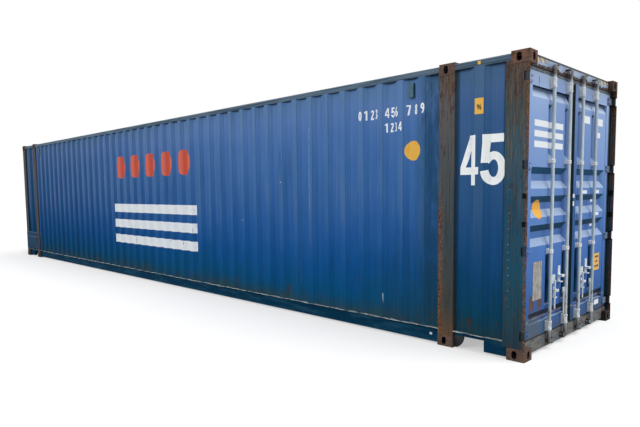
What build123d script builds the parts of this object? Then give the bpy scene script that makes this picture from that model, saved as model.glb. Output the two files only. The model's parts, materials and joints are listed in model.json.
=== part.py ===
from build123d import *
import os

# Forty-five foot high-cube box container. Millimetres, +X towards the doors, +Z up,
# origin at the middle of the base, level with the undersides of the bottom castings.

# Overall size and the inner lifting frame
length = 13716.0
width = 2438.0
height = 2896.0
bay_length = 762.0              # from each end to the inner lifting frame's castings
face_inset = 4.0                # posts, rails and walls stand this far behind the castings

# Corner castings
casting_length = 178.0
casting_width = 162.0
casting_height = 118.0
casting_wall = 28.0
casting_back = 12.0
plan_slot_length = 124.5
plan_slot_width = 63.5
plan_slot_from_end = 103.5
plan_slot_from_side = 89.5
face_hole_height = 79.5
face_hole_width = 51.0
face_hole_from_end = 101.5

# Posts and rails
post_plate = 6.0
mid_post_depth = 56.0
door_post_length = 226.0
front_post_depth = 96.0
top_rail_size = 60.0
top_rail_drop = 20.0            # rail top below the casting top
rail_wall = 4.0
sill_lip_top = 176.0            # top of the lip that the side walls stand on
bottom_rail_base = 16.0
bottom_rail_inset = 32.0
bottom_rail_foot = 48.0
bay_rail_base = 130.0
bay_block_length = 204.0
bay_block_base = 16.0
bay_block_depth = 60.0
gusset_length = 116.0
gusset_base = 6.0
gusset_plate = 8.0
gusset_foot = 29.0
gusset_bend = (84.0, 40.0)      # a point of its hollow edge, from the lower corner at the casting

# Corrugated walls and roof
sheet = 2.0
wall_outer_flat = 72.0
wall_inner_flat = 71.0
wall_slope = 69.0
wall_depth = 36.0
wall_first_flat = 105.0
bay_rib_flat = 98.0
front_pitch_flat = 90.0
front_slope = 40.0
front_depth = 42.0
front_edge_flat = 64.0
front_wall_inset = 8.0
roof_flat = 72.0
roof_slope = 34.0
roof_depth = 20.0
roof_edge_flat = 60.0
roof_below_rail = 2.0

# Front end frame and its repair plates
front_sill_top = 170.0
end_frame_depth = 120.0
repair_plate = 4.0
repair_plate_base = 206.0
repair_plate_top = 646.0
repair_plate_reach = 830.0
repair_plate_flare = 240.0      # how much further the foot reaches than the upper part
repair_plate_flare_height = 274.0
repair_plate_hollow = 0.29      # share of the flare at the middle of its curve

# Floor
floor_top = 170.0
floor_thick = 28.0
floor_side_gap = 5.0
member_height = 122.0
member_flange = 45.0
member_wall = 4.5
member_pitch = 305.0
bay_member_height = 32.0

# Door end frame
opening_inset = 48.0            # from the container's side to the clear door opening
jamb_setback = 60.0
leaf_face_setback = 54.0
sill_base = 30.0
sill_top = 160.0
header_drop = 6.0
header_wall = 4.0

# Door leaves
seal_clearance = 5.0
leaf_meeting_gap = 6.0          # each seal stops this far from the centre line
seal_centre = 29.0
seal_hinge_side = 60.0
seal_top = 40.0
seal_bottom = 15.0
seal_depth = 36.0
seal_setback = 10.0
stile_width = 80.0
leaf_depth = 50.0
leaf_wall = 3.0
top_rail_height = 132.0
bottom_rail_height = 130.0
panel_setback = 4.0
band_count = 3                  # recessed bands about the middle of each leaf
band_pitch = 281.0
band_height = 207.0
band_low_slope = 76.0
band_high_slope = 64.0
band_bevel = 70.0
band_margin = 10.0
top_band_inner = 23.0
top_band_slope = 78.0
bottom_band_inner = 41.0
bottom_band_slope = 70.0
groove_width = 100.0
groove_floor = 36.0
groove_depth = 25.0
groove_bevel = 40.0
groove_end_margin = 40.0
groove_bracket_room = 100.0

# Hinges
hinge_count = 4
hinge_from_bottom = 66.0        # lowest and highest hinge from the ends of the leaf's frame
hinge_from_top = 75.0
stay_from_hinge = (254.0, -288.0)   # stay pockets above the second and below the third hinge
stay_notch_height = 50.0
stay_notch_back = 50.0          # the notch's ends, from the end of the post
stay_notch_front = 12.5
stay_pocket_depth = 10.0
hinge_pin_setback = 22.0
hinge_pin_inset = 20.0
hinge_pin_radius = 9.0
running_gap = 0.05
knuckle_radius = 15.0
blade_height = 76.0
blade_thick = 12.0
blade_lap = 60.0
notch_clearance = 7.0
lug_gap = 1.0
lug_thick = 12.0
lug_reach = 12.0
lug_side = 14.0

# Locking bars, cams, keepers and handles
bar_radius = 17.0
bar_setback = 24.0
bar_positions = (597.0, 181.0)  # distance of the outer and inner bar from the centre line
bar_low = 60.0
bar_top_drop = 56.0
cam_low = 85.0
cam_top_drop = 81.0
cam_height = 32.0
cam_sleeve = 22.0
cam_thick = 20.0
cam_reach = 65.0
keeper_clearance = 6.0
keeper_plate = 6.0
keeper_rib = 8.0
keeper_start = 30.0
keeper_end = 75.0
keeper_reach = 44.0
bracket_width = 75.0
end_bracket_height = 110.0
mid_bracket_height = 50.0
bracket_plate = 4.0
bracket_sleeve_radius = 20.0
bracket_neck = 28.0
bracket_gap = 0.3
mid_bracket_from_band = 67.0
bracket_edge_gap = 8.0
hub_thick = 10.0
hub_below = 18.0
pivot_radius = 6.0
pivot_head_radius = 10.0
pivot_head = 5.0
slip = 0.3
handle_width = 26.0
handle_thick = 8.0
# High and low handle. The high one swings in front of the low one and of its catch
handle_reach = (85.0, 60.0)
handle_pivot = (690.0, 545.0)
handle_length = (285.0, 235.0)
hub_front = (10.0, -3.0)        # hub's face from the bar's axis
hub_above = (70.0, 45.0)
catch_from_pivot = (210.0, 170.0)
catch_below = (35.0, 45.0)
catch_above = (135.0, 70.0)
catch_width = 60.0
catch_lip = 23.0
catch_lip_gap = 9.0
catch_shelf = 8.0
catch_shelf_gap = 6.0
handle_kinds = {"left_door": (0, 1), "right_door": (1, 0)}   # of the outer and the inner bar

# Small fittings
plate_thick = 2.0
plate_width = 205.0
plate_from_stile = 91.0
plate_low = 540.0
plate_high = 920.0
vent_width = 62.0
vent_height = 150.0
vent_below_rail = 50.0
vent_inset = 2.0

half_length = length / 2
half_width = width / 2
opening_half = half_width - opening_inset
frame_end = half_length - bay_length
side_face = half_width - face_inset
web_inner = side_face - post_plate
wall_inner = side_face - wall_depth
post_bottom = casting_height
post_top = height - casting_height
rail_top = height - top_rail_drop
rail_bottom = rail_top - top_rail_size
header_top = height - header_drop
mid_post_inner = frame_end - casting_length
door_post_back = half_length - door_post_length
leaf_face = half_length - leaf_face_setback
jamb_face = half_length - jamb_setback
pin_x = half_length - hinge_pin_setback
pin_y = half_width - hinge_pin_inset
bar_x = half_length - bar_setback
panel_face = leaf_face - panel_setback
leaf_hinge_edge = opening_half - seal_clearance - seal_hinge_side
leaf_centre_edge = leaf_meeting_gap + seal_centre
leaf_top = post_top - seal_clearance - seal_top
leaf_bottom = sill_top + seal_clearance + seal_bottom
leaf_middle = (leaf_bottom + leaf_top) / 2
band_bottoms = [
    leaf_middle + (i - (band_count - 1) / 2) * band_pitch - band_height / 2 for i in range(band_count)
]
lowest_hinge = leaf_bottom + hinge_from_bottom
hinge_pitch = (leaf_top - hinge_from_top - lowest_hinge) / (hinge_count - 1)
hinge_heights = [lowest_hinge + i * hinge_pitch for i in range(hinge_count)]
stay_heights = [hinge_heights[i + 1] + shift for i, shift in enumerate(stay_from_hinge)]
bar_high = height - bar_top_drop
cam_heights = (cam_low, height - cam_top_drop)
mid_bracket_heights = (
    band_bottoms[0] - mid_bracket_from_band,
    band_bottoms[-1] + band_height + mid_bracket_from_band,
)

nodes = {}


def block(x0, x1, y0, y1, z0, z1):
    """Box between two corners."""
    middle = Pos((x0 + x1) / 2, (y0 + y1) / 2, (z0 + z1) / 2)
    return middle * Box(abs(x1 - x0), abs(y1 - y0), abs(z1 - z0))


def prism(points, axis, low, high):
    """Polygon in the plane across an axis, carried from low to high along it."""
    place = {
        "x": lambda a, b: (low, a, b),
        "y": lambda a, b: (a, low, b),
        "z": lambda a, b: (a, b, low),
    }[axis]
    along = {"x": (1, 0, 0), "y": (0, 1, 0), "z": (0, 0, 1)}[axis]
    outline = Polyline(*[place(a, b) for a, b in points], close=True)
    return extrude(make_face(outline), amount=high - low, dir=along)


def rod(axis, centre, radius, low, high):
    """Round bar along X or Z through a centre given in the other two axes."""
    turned = Rot(0, 90, 0) if axis == "x" else Rot(0, 0, 0)
    middle = (low + high) / 2
    place = Pos(middle, *centre) if axis == "x" else Pos(*centre, middle)
    return place * turned * Cylinder(radius, high - low)


def other_side(solid):
    """The same piece on the other long side."""
    return mirror(solid, about=Plane.XZ)


def other_end(solid):
    """The same piece at the other end."""
    return mirror(solid, about=Plane.YZ)


def both_sides(solids):
    return list(solids) + [other_side(s) for s in solids]


def both_ends(solids):
    return list(solids) + [other_end(s) for s in solids]


def add(name, solids):
    nodes[name] = list(solids)


def skin(front, shift):
    """Sheet metal left when a shaped block loses a copy of itself moved by the sheet."""
    return front - Pos(*shift) * front


def sheet_prism(line, axis, low, high, toward):
    """Sheet that follows a line, with its thickness on one side of it."""
    back = [(a + toward[0] * sheet, b + toward[1] * sheet) for a, b in reversed(line)]
    return prism(line + back, axis, low, high)


def upright_slot(overall, slot_width):
    """Slot with round ends, standing in the plane of local X and Y, long along local Y."""
    return Rot(0, 0, 90) * SlotOverall(overall, slot_width)


def casting(end_x, has_end_hole, is_top):
    """Hollow corner casting on the +Y side, end face at end_x, with oval apertures."""
    low = post_top if is_top else 0.0
    middle = low + casting_height / 2
    inner_side = half_width - casting_width
    body = block(end_x - casting_length, end_x, inner_side, half_width, low, low + casting_height)
    body -= block(
        end_x - casting_length + casting_back,
        end_x - casting_wall,
        inner_side + casting_back,
        half_width - casting_wall,
        low + casting_wall,
        low + casting_height - casting_wall,
    )
    slot_x = end_x - plan_slot_from_end
    slot_y = half_width - plan_slot_from_side
    slot_z = low + casting_height if is_top else low
    down = -1 if is_top else 1
    plan_slot = Pos(slot_x, slot_y, slot_z) * SlotOverall(plan_slot_length, plan_slot_width)
    body -= extrude(plan_slot, amount=casting_wall, dir=(0, 0, down))
    hole = upright_slot(face_hole_height, face_hole_width)
    side_plane = Plane((end_x - face_hole_from_end, half_width, middle), x_dir=(1, 0, 0), z_dir=(0, -1, 0))
    body -= extrude(side_plane * hole, amount=casting_wall)
    if has_end_hole:
        end_plane = Plane((end_x, slot_y, middle), x_dir=(0, 1, 0), z_dir=(-1, 0, 0))
        body -= extrude(end_plane * upright_slot(face_hole_height, face_hole_width), amount=casting_wall)
    return body


def make_castings():
    ends = [casting(half_length, True, top) for top in (False, True)]
    mids = [casting(frame_end, False, top) for top in (False, True)]
    add("corner_castings", both_ends(both_sides(ends)))
    add("mid_castings", both_ends(both_sides(mids)))


def make_door_posts():
    """Hollow jamb, its outer web notched for the hinges and with closed pockets for the stays."""
    outline = [
        (door_post_back, opening_half),
        (jamb_face, opening_half),
        (jamb_face, web_inner),
        (half_length, web_inner),
        (half_length, side_face),
        (door_post_back, side_face),
    ]
    post = prism(outline, "z", post_bottom, post_top)
    post -= block(
        door_post_back + post_plate,
        jamb_face - post_plate,
        opening_half + post_plate,
        web_inner,
        post_bottom,
        post_top,
    )
    notch_half = blade_height / 2 + notch_clearance
    for z in hinge_heights:
        post -= block(leaf_face, half_length, web_inner, side_face, z - notch_half, z + notch_half)
    notch_back = half_length - stay_notch_back
    notch_front = half_length - stay_notch_front
    pocket_back = web_inner - stay_pocket_depth
    for z in stay_heights:
        low = z - stay_notch_height / 2
        high = z + stay_notch_height / 2
        post += block(
            jamb_face,
            notch_front + post_plate,
            pocket_back - post_plate,
            web_inner,
            low - post_plate,
            high + post_plate,
        )
        post -= block(notch_back, notch_front, pocket_back, side_face, low, high)
    casting_back_x = half_length - casting_length
    post += block(door_post_back, casting_back_x, web_inner, side_face, post_top, rail_bottom)
    add("door_corner_posts", both_sides([post]))


def open_tube_z(x0, x1, y0, y1, z0, z1, wall):
    """Square upright tube with open ends."""
    return block(x0, x1, y0, y1, z0, z1) - block(x0 + wall, x1 - wall, y0 + wall, y1 - wall, z0, z1)


def make_plain_posts():
    mid = open_tube_z(
        mid_post_inner,
        frame_end,
        side_face - mid_post_depth,
        side_face,
        post_bottom,
        post_top,
        post_plate,
    )
    add("mid_posts", both_ends(both_sides([mid])))
    front = open_tube_z(
        -half_length + face_inset,
        -half_length + casting_length,
        side_face - front_post_depth,
        side_face,
        post_bottom,
        post_top,
        post_plate,
    )
    add("front_corner_posts", both_sides([front]))


def top_rail(x0, x1):
    """Square top rail with open ends between two castings."""
    y0 = side_face - top_rail_size
    outer = block(x0, x1, y0, side_face, rail_bottom, rail_top)
    return outer - block(
        x0, x1, y0 + rail_wall, side_face - rail_wall, rail_bottom + rail_wall, rail_top - rail_wall
    )


def bottom_rail(x0, x1, base, foot):
    """Folded rail: a lip under the wall, a web set back from it and a foot turned inward."""
    web = side_face - bottom_rail_inset
    points = [
        (web - rail_wall, base),
        (web, base),
        (web, sill_lip_top - rail_wall),
        (side_face, sill_lip_top - rail_wall),
        (side_face, sill_lip_top),
        (web - rail_wall, sill_lip_top),
    ]
    rail = prism(points, "x", x0, x1)
    if foot:
        rail += block(x0, x1, web - bottom_rail_foot, web, base, base + rail_wall)
    return rail


def make_side_rails():
    bay = top_rail(frame_end, half_length - casting_length)
    middle = top_rail(-mid_post_inner, mid_post_inner)
    add("top_side_rails", both_sides([middle] + both_ends([bay])))
    long_rail = bottom_rail(-mid_post_inner, mid_post_inner, bottom_rail_base, True)
    add("bottom_side_rails", both_sides([long_rail]))


def make_bay_rails():
    """Shallow rails under the bays, with the stub that closes them against the end castings."""
    casting_back_x = half_length - casting_length
    stub_start = door_post_back - bay_block_length
    rail = bottom_rail(frame_end, door_post_back, bay_rail_base, False)
    web = side_face - bottom_rail_inset
    rail += block(stub_start, door_post_back, web - rail_wall, web, bay_block_base, bay_rail_base)
    rail += block(stub_start, casting_back_x, web - rail_wall, web, bay_block_base, post_bottom)
    rail += block(
        stub_start, stub_start + rail_wall, web - bay_block_depth, web, bay_block_base, bay_rail_base
    )
    front_rail = bottom_rail(frame_end, casting_back_x, bay_rail_base, False)
    front_rail += block(stub_start, casting_back_x, web - rail_wall, web, bay_block_base, bay_rail_base)
    front_rail += block(
        stub_start, stub_start + rail_wall, web - bay_block_depth, web, bay_block_base, bay_rail_base
    )
    add("bay_bottom_rails", both_sides([rail, other_end(front_rail)]))


def make_gussets():
    """Plates with a hollow curved edge, from the inner castings up to the bay rails."""
    web = side_face - bottom_rail_inset
    start = (frame_end, gusset_base)
    foot = (frame_end + gusset_foot, gusset_base)
    end = (frame_end + gusset_length, bay_rail_base)
    corner = (frame_end, bay_rail_base)
    bend = (frame_end + gusset_bend[0], gusset_base + gusset_bend[1])
    flat = [(p[0], web - gusset_plate, p[1]) for p in (start, foot, bend, end, corner)]
    outline = [
        Line(flat[0], flat[1]),
        ThreePointArc(flat[1], flat[2], flat[3]),
        Line(flat[3], flat[4]),
        Line(flat[4], flat[0]),
    ]
    gusset = extrude(make_face(Wire(outline)), amount=gusset_plate, dir=(0, 1, 0))
    add("gusset_plates", both_ends(both_sides([gusset])))


def corrugated_line(start, end, first_flat, outer_flat, slope, inner_flat, outer, inner):
    """Trapezoid wave from start to end that begins and ends on the inner level."""
    points = [(start, inner), (start + first_flat, inner)]
    at = start + first_flat
    while at + 2 * slope + outer_flat <= end + sheet / 2:
        points.append((at + slope, outer))
        points.append((at + slope + outer_flat, outer))
        points.append((at + 2 * slope + outer_flat, inner))
        at += 2 * slope + outer_flat + inner_flat
        points.append((at, inner))
    points = [p for p in points if p[0] < end - sheet]
    return points + [(end, inner)]


def make_side_walls():
    """Long walls, whose wave starts at the post next to the doors."""
    line = corrugated_line(
        -mid_post_inner,
        mid_post_inner,
        wall_first_flat,
        wall_outer_flat,
        wall_slope,
        wall_inner_flat,
        side_face,
        wall_inner,
    )
    wall = sheet_prism([(-x, y) for x, y in line], "z", sill_lip_top, rail_bottom, (0, -1))
    add("left_side_wall", [other_side(wall)])
    add("right_side_wall", [wall])


def bay_line(x0, x1):
    """One rib in the middle of a short bay."""
    middle = (x0 + x1) / 2
    half_rib = bay_rib_flat / 2
    return [
        (x0, wall_inner),
        (middle - half_rib - wall_slope, wall_inner),
        (middle - half_rib, side_face),
        (middle + half_rib, side_face),
        (middle + half_rib + wall_slope, wall_inner),
        (x1, wall_inner),
    ]


def make_bay_panels():
    door_bay = bay_line(frame_end, door_post_back)
    front_bay = bay_line(-half_length + casting_length, -frame_end)
    panels = [sheet_prism(line, "z", sill_lip_top, rail_bottom, (0, -1)) for line in (door_bay, front_bay)]
    add("bay_side_panels", both_sides(panels))


def make_repair_plates():
    """Flat plates over the foot of the front bays and their posts, flared out in a hollow curve."""
    start = -half_length + face_inset
    edge = -half_length + repair_plate_reach
    tip = edge + repair_plate_flare
    bend = repair_plate_base + repair_plate_flare_height
    middle = (
        edge + repair_plate_hollow * repair_plate_flare,
        side_face,
        repair_plate_base + repair_plate_hollow * repair_plate_flare_height,
    )
    low_start = (start, side_face, repair_plate_base)
    high_start = (start, side_face, repair_plate_top)
    high_edge = (edge, side_face, repair_plate_top)
    outline = [
        Line(low_start, (tip, side_face, repair_plate_base)),
        ThreePointArc((tip, side_face, repair_plate_base), middle, (edge, side_face, bend)),
        Line((edge, side_face, bend), high_edge),
        Line(high_edge, high_start),
        Line(high_start, low_start),
    ]
    plate = extrude(make_face(Wire(outline)), amount=repair_plate, dir=(0, 1, 0))
    add("front_bay_plates", both_sides([plate]))


def make_front_wall():
    inner_y = side_face - front_post_depth
    outer = -half_length + front_wall_inset
    line = corrugated_line(
        -inner_y,
        inner_y,
        front_edge_flat,
        front_pitch_flat,
        front_slope,
        front_pitch_flat,
        outer,
        outer + front_depth,
    )
    wall = sheet_prism([(x, y) for y, x in line], "z", front_sill_top, post_top, (1, 0))
    add("front_wall", [wall])
    inner_casting = half_width - casting_width
    back = -half_length + face_inset
    front = back + end_frame_depth
    header = block(back, front, -inner_casting, inner_casting, post_top, rail_top)
    header -= block(
        back + header_wall,
        front - header_wall,
        -inner_casting,
        inner_casting,
        post_top + header_wall,
        rail_top - header_wall,
    )
    add("front_header", [header])
    sill = block(back, front, -inner_casting, inner_casting, bottom_rail_base, post_bottom)
    sill -= block(
        back + header_wall,
        front - header_wall,
        -inner_casting,
        inner_casting,
        bottom_rail_base + header_wall,
        post_bottom - header_wall,
    )
    upper = block(back, front, -inner_y, inner_y, post_bottom, front_sill_top)
    upper -= block(
        back + header_wall,
        front - header_wall,
        -inner_y,
        inner_y,
        post_bottom + header_wall,
        front_sill_top - header_wall,
    )
    sill += upper
    add("front_sill", [sill])


def make_roof():
    """Roof sheet with ribs across it, between the top rails and cut round the castings."""
    edge = side_face - top_rail_size
    top = rail_top - roof_below_rail
    line = corrugated_line(
        -half_length + face_inset + end_frame_depth,
        leaf_face - end_frame_depth,
        roof_edge_flat,
        roof_flat,
        roof_slope,
        roof_flat,
        top,
        top - roof_depth,
    )
    roof = sheet_prism(line, "y", -edge, edge, (0, -1))
    inner_side = half_width - casting_width
    for x0 in (-half_length, half_length - casting_length, mid_post_inner, -frame_end):
        for side in (-1, 1):
            roof -= block(
                x0, x0 + casting_length, side * inner_side, side * half_width, post_top, height
            )
    add("roof_sheet", [roof])


def make_door_frame():
    inner_casting = half_width - casting_width
    back = leaf_face - end_frame_depth
    header = block(back, leaf_face, -inner_casting, inner_casting, post_top, header_top)
    header -= block(
        back + header_wall,
        leaf_face - header_wall,
        -inner_casting,
        inner_casting,
        post_top + header_wall,
        header_top - header_wall,
    )
    add("door_header", [header])
    plate = 2 * header_wall
    sill = block(leaf_face - plate, leaf_face, -inner_casting, inner_casting, sill_base, sill_top)
    sill += block(back, leaf_face, -inner_casting, inner_casting, sill_base, sill_base + plate)
    sill += block(leaf_face - plate, leaf_face, -opening_half, opening_half, post_bottom, sill_top)
    sill += block(back, leaf_face, -opening_half, opening_half, sill_top - plate, sill_top)
    add("door_sill", [sill])


def floor_member(x, half_span, top, tall):
    """Channel across the floor with its open side towards the doors."""
    base = top - tall
    web = block(x, x + member_wall, -half_span, half_span, base, top)
    for z in (base, top - member_wall):
        web += block(x, x + member_flange, -half_span, half_span, z, z + member_wall)
    return web


def make_floor():
    under = floor_top - floor_thick
    half_span = side_face - bottom_rail_inset - rail_wall
    members = []
    count = int(2 * mid_post_inner // member_pitch)
    step = (2 * mid_post_inner - member_flange) / count
    for i in range(count + 1):
        members.append(floor_member(-mid_post_inner + i * step, half_span, under, member_height))
    bay_middle = (frame_end + half_length - casting_length) / 2
    bay_span = half_width - casting_width
    for x in (bay_middle, mid_post_inner + member_flange):
        members.append(floor_member(x, bay_span, under, bay_member_height))
        members.append(other_end(floor_member(x, bay_span, under, bay_member_height)))
    add("floor_cross_members", members)
    front = -half_length + face_inset + end_frame_depth
    back = leaf_face - end_frame_depth
    half_deck = opening_half - floor_side_gap
    deck = block(front, back, -half_deck, half_deck, under, floor_top)
    inner_post = side_face - mid_post_depth - floor_side_gap
    for side in (-1, 1):
        for x0 in (mid_post_inner, -frame_end):
            deck -= block(x0, x0 + casting_length, side * inner_post, side * half_width, under, floor_top)
    deck_front_half = side_face - front_post_depth - floor_side_gap
    for side in (-1, 1):
        deck -= block(
            front,
            -half_length + casting_length + floor_side_gap,
            side * deck_front_half,
            side * half_width,
            under,
            floor_top,
        )
    add("floor_deck", [deck])


def make_hinge_lugs():
    """Each hinge's two lugs and its fixed pin, welded inside the post's web."""
    half_blade = blade_height / 2
    hinges = []
    for z in hinge_heights:
        hinge = rod(
            "z",
            (pin_x, pin_y),
            hinge_pin_radius,
            z - half_blade - lug_gap - lug_thick,
            z + half_blade + lug_gap + lug_thick,
        )
        for low in (z + half_blade + lug_gap, z - half_blade - lug_gap - lug_thick):
            hinge += block(jamb_face, pin_x + lug_reach, pin_y - lug_side, web_inner, low, low + lug_thick)
        hinges.append(hinge)
    add("hinge_lugs", both_sides(hinges))


def make_keepers():
    """Plate with two ribs beside each cam, on the header and the sill."""
    keepers = []
    rib_gap = cam_height / 2 + keeper_clearance
    outer = rib_gap + keeper_rib
    for bar, toward in zip(bar_positions, (-1, 1)):
        y0 = bar + toward * keeper_start
        y1 = bar + toward * keeper_end
        low, high = min(y0, y1), max(y0, y1)
        for z in cam_heights:
            keeper = block(leaf_face, leaf_face + keeper_plate, low, high, z - outer, z + outer)
            keeper += block(leaf_face, leaf_face + keeper_reach, low, high, z + rib_gap, z + outer)
            keeper += block(leaf_face, leaf_face + keeper_reach, low, high, z - outer, z - rib_gap)
            keepers.append(keeper)
    add("bar_keepers", both_sides(keepers))


def make_vents():
    """Small covers in the second and the last but one hollow of each side wall, under the top rail."""
    high = rail_bottom - vent_below_rail
    first_hollow = mid_post_inner - wall_first_flat + wall_inner_flat / 2
    pitch = wall_outer_flat + 2 * wall_slope + wall_inner_flat
    last = int((2 * mid_post_inner - wall_first_flat) // pitch)
    covers = []
    for hollow in (1, last):
        x0 = first_hollow - hollow * pitch - vent_width / 2
        front = side_face - vent_inset
        covers.append(block(x0, x0 + vent_width, wall_inner, front, high - vent_height, high))
    add("side_vents", both_sides(covers))


def leaf_frame():
    """Tubular leaf frame on the +Y side; its hollows join and open at the top and bottom."""
    back = leaf_face - leaf_depth
    inner_low = leaf_bottom + bottom_rail_height
    inner_high = leaf_top - top_rail_height
    frame = block(back, leaf_face, leaf_centre_edge, leaf_hinge_edge, leaf_bottom, leaf_top)
    frame -= block(
        back,
        leaf_face,
        leaf_centre_edge + stile_width,
        leaf_hinge_edge - stile_width,
        inner_low,
        inner_high,
    )
    hollow_back = back + leaf_wall
    hollow_front = leaf_face - leaf_wall
    for y0 in (leaf_centre_edge, leaf_hinge_edge - stile_width):
        frame -= block(
            hollow_back,
            hollow_front,
            y0 + leaf_wall,
            y0 + stile_width - leaf_wall,
            leaf_bottom,
            leaf_top,
        )
    for z0, z1 in ((leaf_bottom, inner_low), (inner_high, leaf_top)):
        frame -= block(
            hollow_back,
            hollow_front,
            leaf_centre_edge + stile_width - leaf_wall,
            leaf_hinge_edge - stile_width + leaf_wall,
            z0 + leaf_wall,
            z1 - leaf_wall,
        )
    return frame


def pocket(depth, front, back):
    """Bevelled pocket cut in from the panel face: front and back are y0, y1, z0, z1."""
    def outline(x, box):
        y0, y1, z0, z1 = box
        corners = [(x, y0, z0), (x, y1, z0), (x, y1, z1), (x, y0, z1)]
        return make_face(Polyline(*corners, close=True))
    return loft([outline(panel_face, front), outline(panel_face - depth, back)], ruled=True)


def leaf_panel():
    """Pressed door panel: recessed bands, half bands at both ends and grooves behind the bars."""
    y0 = leaf_centre_edge + stile_width
    y1 = leaf_hinge_edge - stile_width
    z0 = leaf_bottom + bottom_rail_height
    z1 = leaf_top - top_rail_height
    front = block(panel_face - 2 * wall_depth, panel_face, y0, y1, z0, z1)
    for low in band_bottoms:
        high = low + band_height
        front -= pocket(
            wall_depth,
            (y0 + band_margin, y1 - band_margin, low, high),
            (
                y0 + band_margin + band_bevel,
                y1 - band_margin - band_bevel,
                low + band_low_slope,
                high - band_high_slope,
            ),
        )
    top_step = z1 - top_band_inner
    low_step = z0 + bottom_band_inner
    front -= half_band(y0, y1, z1, top_step, top_step - top_band_slope)
    front -= half_band(y0, y1, z0, low_step, low_step + bottom_band_slope)
    lower_flat = (low_step + bottom_band_slope, band_bottoms[0])
    upper_flat = (band_bottoms[-1] + band_height, top_step - top_band_slope)
    for bar in bar_positions:
        for flat_low, flat_high in (lower_flat, upper_flat):
            low = flat_low + groove_end_margin
            high = flat_high - groove_end_margin
            if flat_low == upper_flat[0]:
                low = flat_low + groove_bracket_room
            else:
                high = flat_high - groove_bracket_room
            front -= pocket(
                groove_depth,
                (bar - groove_width / 2, bar + groove_width / 2, low, high),
                (
                    bar - groove_floor / 2,
                    bar + groove_floor / 2,
                    low + groove_bevel,
                    high - groove_bevel,
                ),
            )
    return skin(front, (-sheet, 0, 0))


def half_band(y0, y1, rail, step, flat):
    """Recess beside a rail: level from the rail to the step, then sloping out to the flat."""
    inner = panel_face - wall_depth
    return prism([(panel_face, rail), (inner, rail), (inner, step), (panel_face, flat)], "y", y0, y1)


def leaf_seal():
    """Rubber seal round the leaf, between its frame and the opening."""
    front = leaf_face - seal_setback
    back = front - seal_depth
    ring = block(
        back,
        front,
        leaf_meeting_gap,
        opening_half - seal_clearance,
        sill_top + seal_clearance,
        post_top - seal_clearance,
    )
    return ring - block(back, front, leaf_centre_edge, leaf_hinge_edge, leaf_bottom, leaf_top)


def hinge_blades():
    """Straps from the stile to the knuckle, which passes through the notch in the post."""
    blades = []
    for z in hinge_heights:
        low = z - blade_height / 2
        high = z + blade_height / 2
        strap = block(
            leaf_face, leaf_face + blade_thick, leaf_hinge_edge - blade_lap, pin_y, low, high
        )
        strap += block(leaf_face, pin_x, pin_y - knuckle_radius, pin_y, low, high)
        strap += rod("z", (pin_x, pin_y), knuckle_radius, low, high)
        strap -= rod("z", (pin_x, pin_y), hinge_pin_radius + running_gap, low, high)
        blades.append(strap)
    return blades


def bar_bracket(bar, z, tall, seat):
    """Bolted plate with a sleeve round the bar."""
    low = z - tall / 2
    high = z + tall / 2
    sleeve_low = low + bracket_edge_gap
    sleeve_high = high - bracket_edge_gap
    bracket = block(
        seat, seat + bracket_plate, bar - bracket_width / 2, bar + bracket_width / 2, low, high
    )
    bracket += block(
        seat, bar_x, bar - bracket_neck / 2, bar + bracket_neck / 2, sleeve_low, sleeve_high
    )
    bracket += rod("z", (bar_x, bar), bracket_sleeve_radius, sleeve_low, sleeve_high)
    return bracket - rod("z", (bar_x, bar), bar_radius + bracket_gap, low, high)


def bar_brackets():
    end_low = leaf_bottom + bottom_rail_height / 2
    end_high = leaf_top - top_rail_height / 2
    brackets = []
    for bar in bar_positions:
        for z in (end_low, end_high):
            brackets.append(bar_bracket(bar, z, end_bracket_height, leaf_face))
        for z in mid_bracket_heights:
            brackets.append(bar_bracket(bar, z, mid_bracket_height, panel_face))
    return brackets


def handle_side(index):
    """On the +Y leaf the outer handle points to the centre line and the inner one away from it."""
    return -1 if index == 0 else 1


def handle_back(kind):
    """Back face of a handle, just in front of its hub."""
    return bar_x + hub_front[kind] + slip


def handle_catches(kinds):
    """Plate behind each raised handle, with a lip over it and a short shelf behind it."""
    catches = []
    for i, kind in enumerate(kinds):
        pivot_z = handle_pivot[kind]
        y = bar_positions[i] + handle_side(i) * (handle_reach[kind] + catch_from_pivot[kind])
        y0 = y - catch_width / 2
        y1 = y + catch_width / 2
        lip = pivot_z + handle_width / 2 + catch_lip_gap
        low = pivot_z - catch_below[kind]
        plate_front = panel_face + keeper_plate
        lip_front = handle_back(kind) + handle_thick
        shelf_front = handle_back(kind) - catch_shelf_gap
        catch = block(panel_face, plate_front, y0, y1, low, pivot_z + catch_above[kind])
        catch += block(plate_front, lip_front, y0, y1, lip, lip + catch_lip)
        catch += block(plate_front, shelf_front, y0, y1, low, low + catch_shelf)
        catches.append(catch)
    return catches


def make_leaf(name, turn):
    add(f"{name}_frame", [turn(leaf_frame())])
    add(f"{name}_panel", [turn(leaf_panel())])
    add(f"{name}_seal", [turn(leaf_seal())])
    add(f"{name}_hinge_blades", [turn(s) for s in hinge_blades()])
    add(f"{name}_bar_brackets", [turn(s) for s in bar_brackets()])
    add(f"{name}_handle_catches", [turn(s) for s in handle_catches(handle_kinds[name])])


def bar_cams(index):
    """Forged cam at each end of a bar, with a sleeve round the bar."""
    y = bar_positions[index]
    tip = y + handle_side(index) * cam_reach
    cams = []
    for z in cam_heights:
        low = z - cam_height / 2
        high = z + cam_height / 2
        cam = rod("z", (bar_x, y), cam_sleeve, low, high)
        cam += block(bar_x - cam_thick / 2, bar_x + cam_thick / 2, min(y, tip), max(y, tip), low, high)
        cams.append(cam - rod("z", (bar_x, y), bar_radius + slip, low, high))
    return cams


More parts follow.
